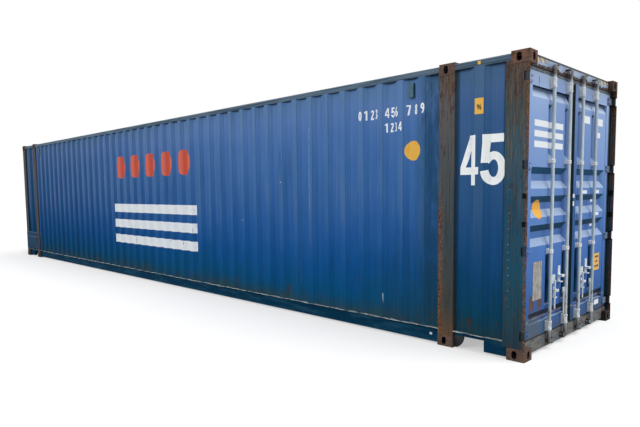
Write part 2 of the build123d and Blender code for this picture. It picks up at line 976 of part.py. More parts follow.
def locking_bar(index, kind):
    """Bar with the handle's hub and its pivot bolt."""
    y = bar_positions[index]
    toward = handle_side(index)
    bar = rod("z", (bar_x, y), bar_radius, bar_low, bar_high)
    pivot_y = y + toward * handle_reach[kind]
    pivot_z = handle_pivot[kind]
    hub_tip = pivot_y + toward * handle_width / 2
    face = bar_x + hub_front[kind]
    bar += block(
        face - hub_thick,
        face,
        min(y, hub_tip),
        max(y, hub_tip),
        pivot_z - hub_below,
        pivot_z + hub_above[kind],
    )
    head_back = handle_back(kind) + handle_thick + slip
    bar += rod("x", (pivot_y, pivot_z), pivot_radius, face, head_back + pivot_head)
    bar += rod("x", (pivot_y, pivot_z), pivot_head_radius, head_back, head_back + pivot_head)
    return bar


def handle(index, kind):
    """Flat handle that hangs from its pivot bolt."""
    pivot_y = bar_positions[index] + handle_side(index) * handle_reach[kind]
    pivot_z = handle_pivot[kind]
    tip = pivot_z - handle_length[kind]
    back = handle_back(kind)
    front = back + handle_thick
    half = handle_width / 2
    grip = block(back, front, pivot_y - half, pivot_y + half, tip + half, pivot_z)
    grip += rod("x", (pivot_y, pivot_z), half, back, front)
    grip += rod("x", (pivot_y, tip + half), half, back, front)
    return grip - rod("x", (pivot_y, pivot_z), pivot_radius + running_gap, back, front)


def make_bars():
    """Bars and handles are numbered from the left as one faces the doors."""
    left = handle_kinds["left_door"]
    right = handle_kinds["right_door"]
    places = [(0, left[0], other_side), (1, left[1], other_side), (1, right[1], None), (0, right[0], None)]
    for number, (index, kind, turn) in enumerate(places, 1):
        bar = [locking_bar(index, kind)] + bar_cams(index)
        grip = handle(index, kind)
        add(f"locking_bar_{number}", [turn(solid) if turn else solid for solid in bar])
        add(f"handle_{number}", [turn(grip) if turn else grip])


def make_data_plate():
    start = -(leaf_hinge_edge - stile_width - plate_from_stile)
    front = panel_face + plate_thick
    add("data_plate", [block(panel_face, front, start, start + plate_width, plate_low, plate_high)])


def main():
    make_castings()
    make_door_posts()
    make_plain_posts()
    make_side_rails()
    make_bay_rails()
    make_gussets()
    make_side_walls()
    make_bay_panels()
    make_repair_plates()
    make_front_wall()
    make_roof()
    make_door_frame()
    make_floor()
    make_hinge_lugs()
    make_keepers()
    make_vents()
    make_leaf("left_door", other_side)
    make_leaf("right_door", lambda solid: solid)
    make_bars()
    make_data_plate()
    os.makedirs("parts", exist_ok=True)
    for name, solids in nodes.items():
        export_step(Compound(children=solids) if len(solids) > 1 else solids[0], f"parts/{name}.step")


main()
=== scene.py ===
import json
import math
import bpy
import numpy as np
from mathutils import Matrix, Vector


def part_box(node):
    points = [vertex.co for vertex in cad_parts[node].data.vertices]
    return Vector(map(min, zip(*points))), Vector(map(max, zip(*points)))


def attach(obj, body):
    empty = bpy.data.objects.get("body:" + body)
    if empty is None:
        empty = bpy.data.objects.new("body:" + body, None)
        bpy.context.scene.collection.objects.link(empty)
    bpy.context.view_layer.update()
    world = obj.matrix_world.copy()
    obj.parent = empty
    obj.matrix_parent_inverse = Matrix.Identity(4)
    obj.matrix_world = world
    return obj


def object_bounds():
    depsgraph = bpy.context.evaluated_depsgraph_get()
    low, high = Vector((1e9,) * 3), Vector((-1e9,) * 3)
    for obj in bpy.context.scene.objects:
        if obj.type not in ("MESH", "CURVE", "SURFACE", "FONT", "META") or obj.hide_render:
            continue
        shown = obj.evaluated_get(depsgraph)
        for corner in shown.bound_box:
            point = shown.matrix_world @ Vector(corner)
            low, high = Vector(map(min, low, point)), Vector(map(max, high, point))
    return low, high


# Forty-five foot box container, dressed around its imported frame. Metres.

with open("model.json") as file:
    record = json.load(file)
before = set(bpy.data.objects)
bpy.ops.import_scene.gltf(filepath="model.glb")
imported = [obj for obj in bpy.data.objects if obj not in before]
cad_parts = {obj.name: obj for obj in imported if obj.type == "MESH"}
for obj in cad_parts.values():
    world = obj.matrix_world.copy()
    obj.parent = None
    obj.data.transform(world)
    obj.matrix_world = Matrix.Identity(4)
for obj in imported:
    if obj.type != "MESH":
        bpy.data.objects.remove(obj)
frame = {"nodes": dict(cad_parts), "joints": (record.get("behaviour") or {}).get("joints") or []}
cad_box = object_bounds()
nodes = frame["nodes"]
joints = {j["name"]: j for j in frame["joints"]}

MM = 0.001
HALF_LENGTH = cad_box[1][0]

# Places that the marks and fittings are worked out from
SIDE_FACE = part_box("mid_posts")[1][1]
WALL_DEPTH = 36 * MM
WALL_INNER = SIDE_FACE - WALL_DEPTH
WALL_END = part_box("left_side_wall")[1][0]
WALL_PITCH = 281 * MM
WALL_FIRST_FLAT = 105 * MM
WALL_SLOPE = 69 * MM
WALL_OUTER_FLAT = 72 * MM
BAY_START = 6.096
BAY_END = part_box("door_corner_posts")[1][0] - 226 * MM
BAY_RIB = 98 * MM
LEAF_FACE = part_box("right_door_frame")[1][0]
PANEL_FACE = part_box("right_door_panel")[1][0]
BAR_X = joints["bar_1_turn"]["pos_m"][0]
BAR_YS = [joints[f"bar_{i}_turn"]["pos_m"][1] for i in (1, 2, 3, 4)]
LEAF_OF_BAR = ("left_door", "left_door", "right_door", "right_door")
MID_BRACKET_HEIGHTS = (1.005, 1.908)

# The photograph's camera, from a fit to the casting corners
CAMERA_AT = (9.058, -6.179, 1.645)
CAMERA_YAW = 135.358
CAMERA_PITCH = 4.611
CAMERA_ROLL = -0.683
FOCAL_PIXELS = 550.888
IMAGE_WIDTH, IMAGE_HEIGHT = 640, 427
PRINCIPAL_POINT = (311.07, 234.53)
SENSOR = 36.0


def linear(code):
    """sRGB hex to linear colour with alpha."""
    parts = [int(code[i:i + 2], 16) / 255 for i in (1, 3, 5)]
    lit = [c / 12.92 if c <= 0.04045 else ((c + 0.055) / 1.055) ** 2.4 for c in parts]
    return (*lit, 1.0)


def put(tree, kind, links=None, out=0, **settings):
    """Adds a shader node with its settings, values and links. Gives one output, or all for None."""
    made = tree.nodes.new("ShaderNode" + kind)
    for key, value in settings.items():
        setattr(made, key, value)
    for key, value in (links or {}).items():
        socket = made.inputs[key]
        if isinstance(value, bpy.types.NodeSocket):
            tree.links.new(value, socket)
        else:
            socket.default_value = value
    return made.outputs if out is None else made.outputs[out]


def new_material(name):
    """Material with an empty node tree."""
    material = bpy.data.materials.new(name)
    material.use_nodes = True
    tree = material.node_tree
    tree.nodes.clear()
    return material, tree


def finish_material(tree, color, roughness, bump, bump_distance, metallic=0.0, specular=0.5):
    """Principled shader with uniform values on its own sockets."""
    normal = put(tree, "Bump", {"Height": bump, "Distance": bump_distance, "Strength": 1.0})
    inputs = {
        "Base Color": color,
        "Roughness": roughness,
        "Metallic": metallic,
        "Specular IOR Level": specular,
        "Normal": normal,
    }
    put(tree, "OutputMaterial", {"Surface": put(tree, "BsdfPrincipled", inputs)}, out=None)


def coordinates(tree):
    """Object coordinates, whole and split, which are the shared frame's metres."""
    vector = put(tree, "TexCoord", out=3)
    x, y, z = put(tree, "SeparateXYZ", {0: vector}, out=None)
    return vector, x, y, z


def facing(tree):
    """The surface's normal, split."""
    return put(tree, "SeparateXYZ", {0: put(tree, "TexCoord", out=1)}, out=None)


def cloudy(tree, vector, sizes, detail=4.0, rough=0.55):
    """Noise whose lumps have the given size along X, Y and Z in metres."""
    stretched = put(tree, "Mapping", {"Vector": vector, "Scale": tuple(1 / s for s in sizes)})
    inputs = {"Vector": stretched, "Scale": 1.0, "Detail": detail, "Roughness": rough}
    return put(tree, "TexNoise", inputs)


def between(tree, value, low, high, to_low=0.0, to_high=1.0, kind="SMOOTHSTEP"):
    """Step from to_low at low to to_high at high."""
    limits = {"Value": value, 1: low, 2: high, 3: to_low, 4: to_high}
    return put(tree, "MapRange", limits, interpolation_type=kind)


def magnitude(tree, value):
    """A value without its sign."""
    return put(tree, "Math", {0: value}, operation="ABSOLUTE")


def raised(tree, value, extra, share):
    """A value with a share of another added to it."""
    return put(tree, "Math", {0: extra, 1: share, 2: value}, operation="MULTIPLY_ADD")


def drifted(tree, value, noise, amount):
    """A value shifted up and down by a noise."""
    centred = put(tree, "Math", {0: noise, 1: 0.5}, operation="SUBTRACT")
    return raised(tree, value, centred, amount)


def times(tree, first, *others):
    """Product of masks."""
    for other in others:
        first = put(tree, "Math", {0: first, 1: other}, operation="MULTIPLY")
    return first


def either(tree, masks):
    """White where any mask is."""
    first = masks[0]
    for other in masks[1:]:
        first = put(tree, "Math", {0: first, 1: other}, operation="MAXIMUM")
    return first


def over(tree, below, above, mask):
    """One colour laid over another where the mask is white."""
    return put(tree, "Mix", {0: mask, 6: below, 7: above}, out=2, data_type="RGBA")


def coat(tree, below, code, mask):
    """A coat of one colour code laid over a colour where the mask is white."""
    return over(tree, below, linear(code), mask)


def two_tone(tree, noise, dark, light, low, high):
    """Two colour codes mixed by a noise: the first below low, the second above high."""
    return coat(tree, linear(dark), light, between(tree, noise, low, high))


def tones(tree, value, stops):
    """Colour that runs through stops of place and code along a value."""
    color = linear(stops[0][1])
    for (low, _), (high, code) in zip(stops, stops[1:]):
        color = coat(tree, color, code, between(tree, value, low, high, kind="LINEAR"))
    return color


def near(tree, value, centre, half, soft):
    """Band that is white within half of a centre, with soft edges."""
    away = put(tree, "Math", {0: value, 1: centre}, operation="SUBTRACT")
    return between(tree, magnitude(tree, away), half + soft, half - soft)


def run_mask(tree, across, z, vector, place):
    """Drip that starts at a height and fades out below it: across, top, length, half width."""
    centre, top, length, half = place
    shifted = drifted(tree, across, cloudy(tree, vector, (0.5, 0.5, 0.12)), half * 1.5)
    band = near(tree, shifted, centre, half * 0.5, half * 0.5)
    below = between(tree, z, top + 0.01, top - 0.01)
    tail = between(tree, z, top - length, top - length * 0.2)
    return times(tree, band, below, tail)


# Finishes

RUST_DARK = "#3d2a22"
RUST_MID = "#5a453b"
RUST_BRIGHT = "#86593e"

# Along the length, where the far end's darker colour begins and where it is full
FAR_END = (-5.0, -5.5)


def rust_colour(tree, vector):
    """Brown rust in two tones with brighter orange grains, as on steel left outside.

    Its grains are drawn 12 mm wide, coarser than real flakes, so that they show.
    """
    blotch = cloudy(tree, vector, (0.05, 0.05, 0.09), 6.0, 0.65)
    color = two_tone(tree, blotch, RUST_DARK, RUST_MID, 0.36, 0.6)
    grain = cloudy(tree, vector, (0.012, 0.012, 0.016), 3.0, 0.7)
    grain = times(tree, between(tree, grain, 0.58, 0.72), 0.65)
    return coat(tree, color, RUST_BRIGHT, grain)


def rust_spots(tree, vector, z, amount):
    """Sparse freckles of rust that thicken towards the bottom of the wall."""
    small = cloudy(tree, vector, (0.022, 0.022, 0.035), 3.0, 0.6)
    patch = cloudy(tree, vector, (0.28, 0.28, 0.22), 3.0, 0.6)
    low = between(tree, z, 0.45, 0.18)
    spread = raised(tree, patch, low, 0.16)
    thick = between(tree, spread, 0.6 - amount, 0.74 - amount)
    fewer = between(tree, z, 0.9, 0.3, 0.1, 1.0)
    return times(tree, thick, between(tree, small, 0.59, 0.64), fewer)


def streaks(tree, vector):
    """Faint vertical washing marks a few centimetres apart."""
    fine = cloudy(tree, vector, (0.03, 0.03, 1.6), 5.0, 0.6)
    broad = cloudy(tree, vector, (0.4, 0.4, 1.2), 3.0, 0.5)
    return put(tree, "Math", {0: fine, 1: broad}, operation="ADD")


def scratches(tree, vector):
    """Thin pale vertical scratches from handling."""
    hair = cloudy(tree, vector, (0.018, 0.018, 1.1), 2.0, 0.8)
    where = cloudy(tree, vector, (0.7, 0.7, 0.9), 2.0, 0.6)
    return times(tree, between(tree, hair, 0.70, 0.76), between(tree, where, 0.52, 0.66))


PAINT_EDGE = 2 * MM


def box_mark(tree, across, z, box):
    """Painted rectangle: across low, across high, bottom, top."""
    a0, a1, z0, z1 = box
    wide = near(tree, across, (a0 + a1) / 2, (a1 - a0) / 2, PAINT_EDGE)
    tall = near(tree, z, (z0 + z1) / 2, (z1 - z0) / 2, PAINT_EDGE)
    return times(tree, wide, tall)


def distance(tree, across, upright, centre):
    """How far a place on a face is from a centre."""
    first = put(tree, "Math", {0: across, 1: centre[0]}, operation="SUBTRACT")
    second = put(tree, "Math", {0: upright, 1: centre[1]}, operation="SUBTRACT")
    flat = put(tree, "CombineXYZ", {0: first, 1: second})
    return put(tree, "VectorMath", {0: flat}, out=1, operation="LENGTH")


def disc_mark(tree, across, z, centre, radius):
    """Painted disc."""
    away = distance(tree, across, z, centre)
    return between(tree, away, radius + PAINT_EDGE, radius - PAINT_EDGE)


def rust_patches(tree, vector, sizes, low, high):
    """Rust patches of a given lump size."""
    return between(tree, cloudy(tree, vector, sizes, 5.0, 0.68), low, high)


def rust_patched(tree, vector, color, sizes, low, high, share=1.0):
    """A colour with rust patches of a given lump size laid over it."""
    mask = times(tree, rust_patches(tree, vector, sizes, low, high), share)
    return over(tree, color, rust_colour(tree, vector), mask)


def dented(tree, vector, sizes, share):
    """Broad dents with a share of the paint's ripple.

    The ripple is drawn 10 mm wide, coarser than the real few millimetres, so that it shows.
    """
    dents = cloudy(tree, vector, sizes, 2.0, 0.4)
    ripple = cloudy(tree, vector, (0.01, 0.01, 0.01), 2.0)
    return raised(tree, dents, ripple, share)


# The side's tones by height, partly chalk and partly painted light and shade, its runs as run_mask
# takes them, and its other marks of wear
SIDE_TONES = (
    (0.19, "#284959"),
    (0.27, "#12496a"),
    (0.40, "#064d7a"),
    (0.70, "#10508c"),
    (1.10, "#225898"),
    (1.50, "#32629e"),
    (1.90, "#3c6aa5"),
    (2.30, "#4972ac"),
    (2.60, "#587bb2"),
    (2.76, "#587caa"),
)
SIDE_RUST_RUNS = (
    (5.722, 2.42, 0.16, 0.009),
    (5.752, 2.44, 0.30, 0.010),
    (6.268, 0.27, 0.10, 0.030),
    (4.460, 0.70, 0.13, 0.010),
    (3.560, 0.37, 0.16, 0.030),
    (3.450, 0.26, 0.08, 0.030),
    (2.420, 0.40, 0.20, 0.014),
    (-2.470, 2.37, 0.46, 0.009),
)
WHITE_RUN = (5.188, 0.456, 0.13, 0.010)
LONG_SCRATCH = (4.009, 2.456, 1.80, 0.009)
PALE_NICKS = ((2.565, 1.222), (2.612, 1.222), (3.455, 1.755), (2.285, 2.535))
BAY_EDGES = ((6.116, 0.020), (6.617, 0.015))
RUSTED_DISC = ((6.268, 0.306), 0.034)
SIDE_FADE = (4.0, -6.8)


def side_wall_paint():
    """Blue alkyd paint rolled over steel: deep and satin low down, pale near the roof. The change
    is partly chalk and partly painted light, and the whole side is darker than the doors as painted
    shade.
    """
    material, tree = new_material("blue_alkyd_paint_side")
    vector, x, y, z = coordinates(tree)
    out = magnitude(tree, y)
    wash = cloudy(tree, vector, (0.5, 0.5, 0.6), 3.0)
    # Tones by height: partly chalk, partly painted light and shade
    color = tones(tree, drifted(tree, z, wash, 0.5), SIDE_TONES)

    # Washing marks, darker and bleached, and thin dark runs low down
    streak = streaks(tree, vector)
    color = coat(tree, color, "#0b3664", between(tree, streak, 0.95, 0.68, 0.0, 0.3))
    bleached = between(tree, streak, 1.06, 1.30, 0.0, 0.22)
    bleached = times(tree, bleached, between(tree, z, 0.6, 1.5, 0.1, 1.0))
    color = coat(tree, color, "#6d89b4", bleached)
    washed = cloudy(tree, vector, (0.022, 0.022, 0.5), 5.0, 0.7)
    low_run = times(tree, between(tree, washed, 0.54, 0.68), between(tree, z, 1.4, 0.5, 0.0, 0.4))
    color = coat(tree, color, "#0c2636", low_run)

    # Chalk on the outer flats and grey inner flats towards the far end, and painted shade that
    # deepens towards the far end
    on_side = between(tree, out, 1.10, 1.14)
    outer = between(tree, out, SIDE_FACE - 4 * MM, SIDE_FACE - 1 * MM)
    inner = between(tree, out, WALL_INNER + 4 * MM, WALL_INNER + 1 * MM)
    upper = between(tree, z, 0.7, 1.7)
    worn = cloudy(tree, vector, (0.12, 0.12, 0.9), 4.0)
    chalk = times(tree, outer, between(tree, worn, 0.3, 0.6, 0.0, 0.26), upper)
    color = coat(tree, color, "#647d92", chalk)
    greyed = times(tree, inner, upper, on_side)
    grey_share = times(tree, greyed, between(tree, x, *SIDE_FADE, 0.04, 0.38))
    color = coat(tree, color, "#75789c", grey_share)
    # Painted shade: all faces but the grey inner flats darken towards the far end
    rest = between(tree, greyed, 0.0, 1.0, 1.0, 0.0)
    far_shade = times(tree, rest, on_side, between(tree, x, *SIDE_FADE, 0.0, 0.30))
    color = coat(tree, color, "#0a2f4c", far_shade)
    # Painted shade on the faces turned towards the doors, stronger towards the far end
    forward = between(tree, facing(tree)[0], 0.2, 0.4)
    forward = times(tree, forward, between(tree, x, *SIDE_FADE, 0.03, 0.35))
    color = coat(tree, color, "#0b2d4e", forward)
    # Painted shade: a dark line along the fold at the edge of each outer flat
    fold = near(tree, out, SIDE_FACE - 4 * MM, 2 * MM, 2 * MM)
    color = coat(tree, color, "#102c46", times(tree, fold, 0.28))

    # Road dirt at the foot, darker patches beside the post, and painted shade in the bays, in the
    # bays' corners and behind the rail
    grime = cloudy(tree, vector, (0.09, 0.09, 0.3), 5.0, 0.65)
    soil = times(tree, between(tree, z, 0.36, 0.18), between(tree, grime, 0.40, 0.68, 0.1, 0.75))
    color = coat(tree, color, "#233f4d", soil)
    by_post = times(tree, near(tree, x, 5.85, 0.16, 0.14), between(tree, grime, 0.3, 0.6, 0.3, 0.7))
    color = coat(tree, color, "#153c50", by_post)
    old_runs = between(tree, washed, 0.46, 0.6, 0.2, 0.6)
    stained = times(tree, between(tree, x, 4.7, 5.6), between(tree, z, 1.5, 0.4), old_runs)
    color = coat(tree, color, "#1d3a48", stained)
    in_bay = times(tree, on_side, between(tree, magnitude(tree, x), 6.09, 6.11, 0.0, 0.38))
    color = coat(tree, color, "#002a30", in_bay)
    behind_rail = between(tree, out, SIDE_FACE - 2 * MM, SIDE_FACE - 8 * MM)
    behind_rail = times(tree, behind_rail, between(tree, z, 2.795, 2.814), 0.7)
    color = coat(tree, color, "#122536", behind_rail)
    corner = either(tree, [near(tree, x, centre, half, 0.008) for centre, half in BAY_EDGES])
    color = coat(tree, color, "#10303d", times(tree, inner, corner, 0.6))

    # Scratches, nicks and one white run of paint
    flecks = between(tree, cloudy(tree, vector, (0.03, 0.03, 0.05), 4.0, 0.7), 0.42, 0.58)
    scrape = times(tree, run_mask(tree, x, z, vector, LONG_SCRATCH), flecks)
    pale = either(tree, [times(tree, scratches(tree, vector), 0.6), scrape])
    color = coat(tree, color, "#8fa3bf", times(tree, pale, 0.8))
    nicks = [disc_mark(tree, x, z, place, 9 * MM) for place in PALE_NICKS]
    white = either(tree, [times(tree, run_mask(tree, x, z, vector, WHITE_RUN), 0.9)] + nicks)
    color = coat(tree, color, "#b9c4cf", times(tree, white, 0.8))

    color = side_design(tree, vector, x, y, z, color)
    runs = either(tree, [run_mask(tree, x, z, vector, place) for place in SIDE_RUST_RUNS])
    disc = disc_mark(tree, x, z, *RUSTED_DISC)
    freckles = rust_spots(tree, vector, z, 0.02)
    rust = either(tree, [times(tree, runs, 0.6), times(tree, disc, 0.85), freckles])
    brown = coat(tree, rust_colour(tree, vector), "#2b201b", 0.5)
    color = over(tree, color, brown, rust)
    rough = raised(tree, 0.72, rust, 0.15)
    relief = dented(tree, vector, (0.5, 0.5, 0.35), 0.05)
    finish_material(tree, color, rough, relief, 0.006, specular=0.03)
    return material


DESIGN_WHITE = "#dfe5ea"
DESIGN_RED = "#cf6a58"
DESIGN_RED_SHADED = "#c25443"
BAR_ROWS = ((0.66, 0.82), (0.96, 1.12), (1.26, 1.42))
BAR_SPAN = (-1.55, 1.35)
DISC_CENTRES = (-1.25, -0.68, -0.11, 0.46, 1.03)
DISC_HEIGHT = 2.13
DISC_RADIUS = 0.21


def side_design(tree, vector, x, y, z, color):
    """Generic marking: a row of plain discs over three plain bars, painted on the wave."""
    bars = either(tree, [box_mark(tree, x, z, BAR_SPAN + row) for row in BAR_ROWS])
    places = [(centre, DISC_HEIGHT) for centre in DISC_CENTRES]
    discs = either(tree, [disc_mark(tree, x, z, place, DISC_RADIUS) for place in places])
    chips = between(tree, cloudy(tree, vector, (0.03, 0.03, 0.12), 4.0, 0.7), 0.30, 0.36)
    outside = between(tree, times(tree, facing(tree)[1], y), -0.1, 0.1)
    bars = times(tree, bars, chips, outside)
    discs = times(tree, discs, chips, outside)
    # The discs are a darker red in the wall's hollows: painted shade
    shade = between(tree, magnitude(tree, y), WALL_INNER, SIDE_FACE)
    red = coat(tree, linear(DESIGN_RED_SHADED), DESIGN_RED, shade)
    color = coat(tree, color, DESIGN_WHITE, bars)
    return over(tree, color, red, discs)


# The leaves' tones by height, partly chalk and partly painted light, their plain marks, their runs
# of rust, the panel's grooves and the painted shade on the undersides
LEAF_TONES_WITH_LIGHT = (
    (0.18, "#395a83"),
    (0.36, "#315d94"),
    (0.50, "#345f9f"),
    (0.95, "#4a74b8"),
    (1.60, "#688cc5"),
    (1.95, "#7c9acd"),
    (2.30, "#88a4d2"),
    (2.56, "#97b0da"),
    (2.70, "#94a7c4"),
)
LEFT_LEAF_BARS = (
    (-0.96, -0.27, 2.23, 2.29),
    (-0.96, -0.27, 2.13, 2.19),
    (-0.96, -0.27, 2.03, 2.09),
)
RIGHT_LEAF_BARS = (
    (0.28, 0.50, 2.35, 2.43),
    (0.68, 0.92, 2.35, 2.43),
    (0.70, 0.84, 2.21, 2.27),
    (0.30, 0.46, 1.570, 1.606),
    (0.68, 0.86, 1.570, 1.606),
    (0.68, 0.84, 1.472, 1.500),
    (0.68, 0.86, 1.312, 1.346),
    (0.68, 0.84, 1.186, 1.214),
    (0.15, 0.20, 1.440, 1.490),
    (0.15, 0.20, 1.170, 1.215),
    (0.036, 0.080, 1.530, 1.570),
    (0.036, 0.072, 1.440, 1.490),
    (0.787, 0.932, 0.236, 0.294),
)
LEFT_LEAF_SPOT = ((-0.81, 1.43), 0.095)
LEAF_RUST_RUNS = (
    (-0.965, 0.590, 0.24, 0.055),
    (-0.920, 0.560, 0.20, 0.040),
    (-0.745, 0.610, 0.26, 0.060),
    (-0.800, 0.565, 0.20, 0.045),
    (-0.884, 2.690, 0.09, 0.014),
    (0.900, 0.420, 0.14, 0.012),
)
GROOVE_FLATS = ((0.7165, 0.256), (2.20, 0.26))
GROOVE_TOPS = (0.993, 2.480)
UNDERSIDE_SHADE_TONES = (
    (0.45, "#081f30"),
    (1.20, "#0c3a54"),
    (1.75, "#184c70"),
    (2.10, "#184c70"),
    (2.55, "#04121b"),
)


def leaf_paint(name, marks, spots=()):
    """The same blue paint on the doors, paler partly because the sun chalked it and partly as
    painted light, with painted shade in the hollows.
    """
    material, tree = new_material(name)
    vector, x, y, z = coordinates(tree)
    out = magnitude(tree, y)
    turn = facing(tree)
    outside = between(tree, turn[0], -0.5, -0.2)
    wash = cloudy(tree, vector, (0.4, 0.4, 0.5), 4.0)
    # Tones by height: partly chalk, partly painted light
    color = tones(tree, drifted(tree, z, wash, 0.35), LEAF_TONES_WITH_LIGHT)
    streak = streaks(tree, vector)
    color = coat(tree, color, "#3a5a8a", between(tree, streak, 0.90, 0.62, 0.0, 0.3))
    color = coat(tree, color, "#4468ae", between(tree, out, 0.60, 0.50, 0.0, 0.28))

    # Painted shade in the hollows, on the undersides of the panel's grooves and on the frame's
    # inward faces, and painted light on the upper sides
    hollow_shade = between(tree, x, PANEL_FACE - 4 * MM, PANEL_FACE - 30 * MM, 0.0, 0.45)
    color = coat(tree, color, "#3f639d", hollow_shade)
    mild = either(tree, [near(tree, z, place, 0.03, 0.02) for place in GROOVE_TOPS])
    shaded = between(tree, mild, 0.0, 1.0, 0.97, 0.3)
    underside_shade = times(tree, between(tree, turn[2], -0.2, -0.4), outside, shaded)
    color = over(tree, color, tones(tree, z, UNDERSIDE_SHADE_TONES), underside_shade)
    # Painted light: faces turned upwards are paler
    color = coat(tree, color, "#bac8d6", between(tree, turn[2], 0.2, 0.4, 0.0, 0.5))
    inward = between(tree, magnitude(tree, turn[1]), 0.6, 0.9)
    inward = times(tree, inward, between(tree, out, 0.2, 0.15), 0.75)
    color = coat(tree, color, "#1d3947", inward)

    # The darker centre stile, the painted shadow of a bar on the left leaf's centre stile and
    # painted shade in the gap between the leaves, and the painted shade behind the bars
    fading = between(tree, z, 2.6, 1.0, 0.35, 0.7)
    stile = times(tree, near(tree, y, 0.075, 0.040, 0.006), fading, outside)
    color = coat(tree, color, "#164a74", stile)
    gap_shade = either(tree, [near(tree, y, -0.052, 0.020, 0.008), near(tree, y, 0.036, 0.006, 0.010)])
    color = coat(tree, color, "#0a1a22", times(tree, gap_shade, outside, 0.88))
    bars = either(tree, [near(tree, y, bar + 0.008, 0.036, 0.018) for bar in BAR_YS])
    flats = either(tree, [near(tree, z, centre, half, 0.02) for centre, half in GROOVE_FLATS])
    sunk = between(tree, x, PANEL_FACE + 1 * MM, PANEL_FACE - 6 * MM)
    groove = times(tree, bars, flats, sunk, between(tree, z, 2.0, 1.2, 0.12, 1.0), outside)
    color = coat(tree, color, "#022c44", groove)

    # Dirt at the foot, a dull patch and a pale line on the lower rail, the line partly rubbed paint
    # and partly painted highlight, and scratches
    grime = cloudy(tree, vector, (0.1, 0.1, 0.3), 5.0, 0.65)
    soil = times(tree, between(tree, z, 0.40, 0.2), between(tree, grime, 0.36, 0.66, 0.05, 0.55))
    color = coat(tree, color, "#3f484c", soil)
    dull = times(tree, between(tree, y, -0.62, -0.80), between(tree, z, 0.40, 0.33), 0.7)
    color = coat(tree, color, "#52626e", dull)
    rubbed_and_highlight = near(tree, z, 0.345, 0.010, 0.012)
    rubbed_and_highlight = times(tree, rubbed_and_highlight, between(tree, grime, 0.34, 0.52), 0.7)
    color = coat(tree, color, "#9a8d88", rubbed_and_highlight)
    color = coat(tree, color, "#a9b8d4", times(tree, scratches(tree, vector), 0.4))

    # Plain marks, then rust over all
    chips = between(tree, cloudy(tree, vector, (0.03, 0.03, 0.1), 4.0, 0.7), 0.28, 0.35)
    white = either(tree, [box_mark(tree, y, z, box) for box in marks])
    color = coat(tree, color, "#e6ebf0", times(tree, white, chips, outside))
    for centre, radius in spots:
        disc = times(tree, disc_mark(tree, y, z, centre, radius), outside)
        color = coat(tree, color, "#e3ab4c", disc)
    runs = either(tree, [run_mask(tree, y, z, vector, place) for place in LEAF_RUST_RUNS])
    full = put(tree, "Math", {0: runs, 1: 1.6}, operation="MULTIPLY", use_clamp=True)
    rust = either(tree, [times(tree, full, outside, 0.9), rust_spots(tree, vector, z, 0.03)])
    brown = coat(tree, rust_colour(tree, vector), "#6e5240", 0.6)
    color = over(tree, color, brown, rust)
    rough = raised(tree, 0.58, rust, 0.25)
    relief = dented(tree, vector, (0.3, 0.3, 0.3), 0.08)
    finish_material(tree, color, rough, relief, 0.003, specular=0.05)
    return material


# The posts' tones by height
MID_POST_TONES = (
    (0.12, "#5a4636"),
    (0.45, "#3d3f3d"),
    (1.20, "#35454c"),
    (1.80, "#3e4b53"),
    (2.50, "#54565b"),
    (2.76, "#58504c"),
)
DOOR_POST_TONES = (
    (0.15, "#1a3440"),
    (0.80, "#13485e"),
    (1.50, "#1c4860"),
    (2.00, "#30505f"),
    (2.40, "#3d484b"),
    (2.76, "#544b48"),
)
FRONT_POST_TONES = ((0.15, "#1f3340"), (1.50, "#27455a"), (2.76, "#444c50"))
WELD_COLUMN = 6.682
WELD_PITCH = 0.074


def weld_dots(tree, x, z):
    """Column of small pale dots up the middle of the door post."""
    turns = put(tree, "Math", {0: z, 1: WELD_PITCH / 2}, operation="PINGPONG")
    away = distance(tree, magnitude(tree, x), turns, (WELD_COLUMN, 0.0))
    return times(tree, between(tree, away, 8 * MM, 4 * MM), near(tree, z, 1.10, 0.58, 0.03))


def edge_mask(tree, x, place, width):
    """White within a width of a place along the length, at both ends of the container."""
    away = put(tree, "Math", {0: magnitude(tree, x), 1: place}, operation="SUBTRACT")
    return between(tree, magnitude(tree, away), width, 0.0)


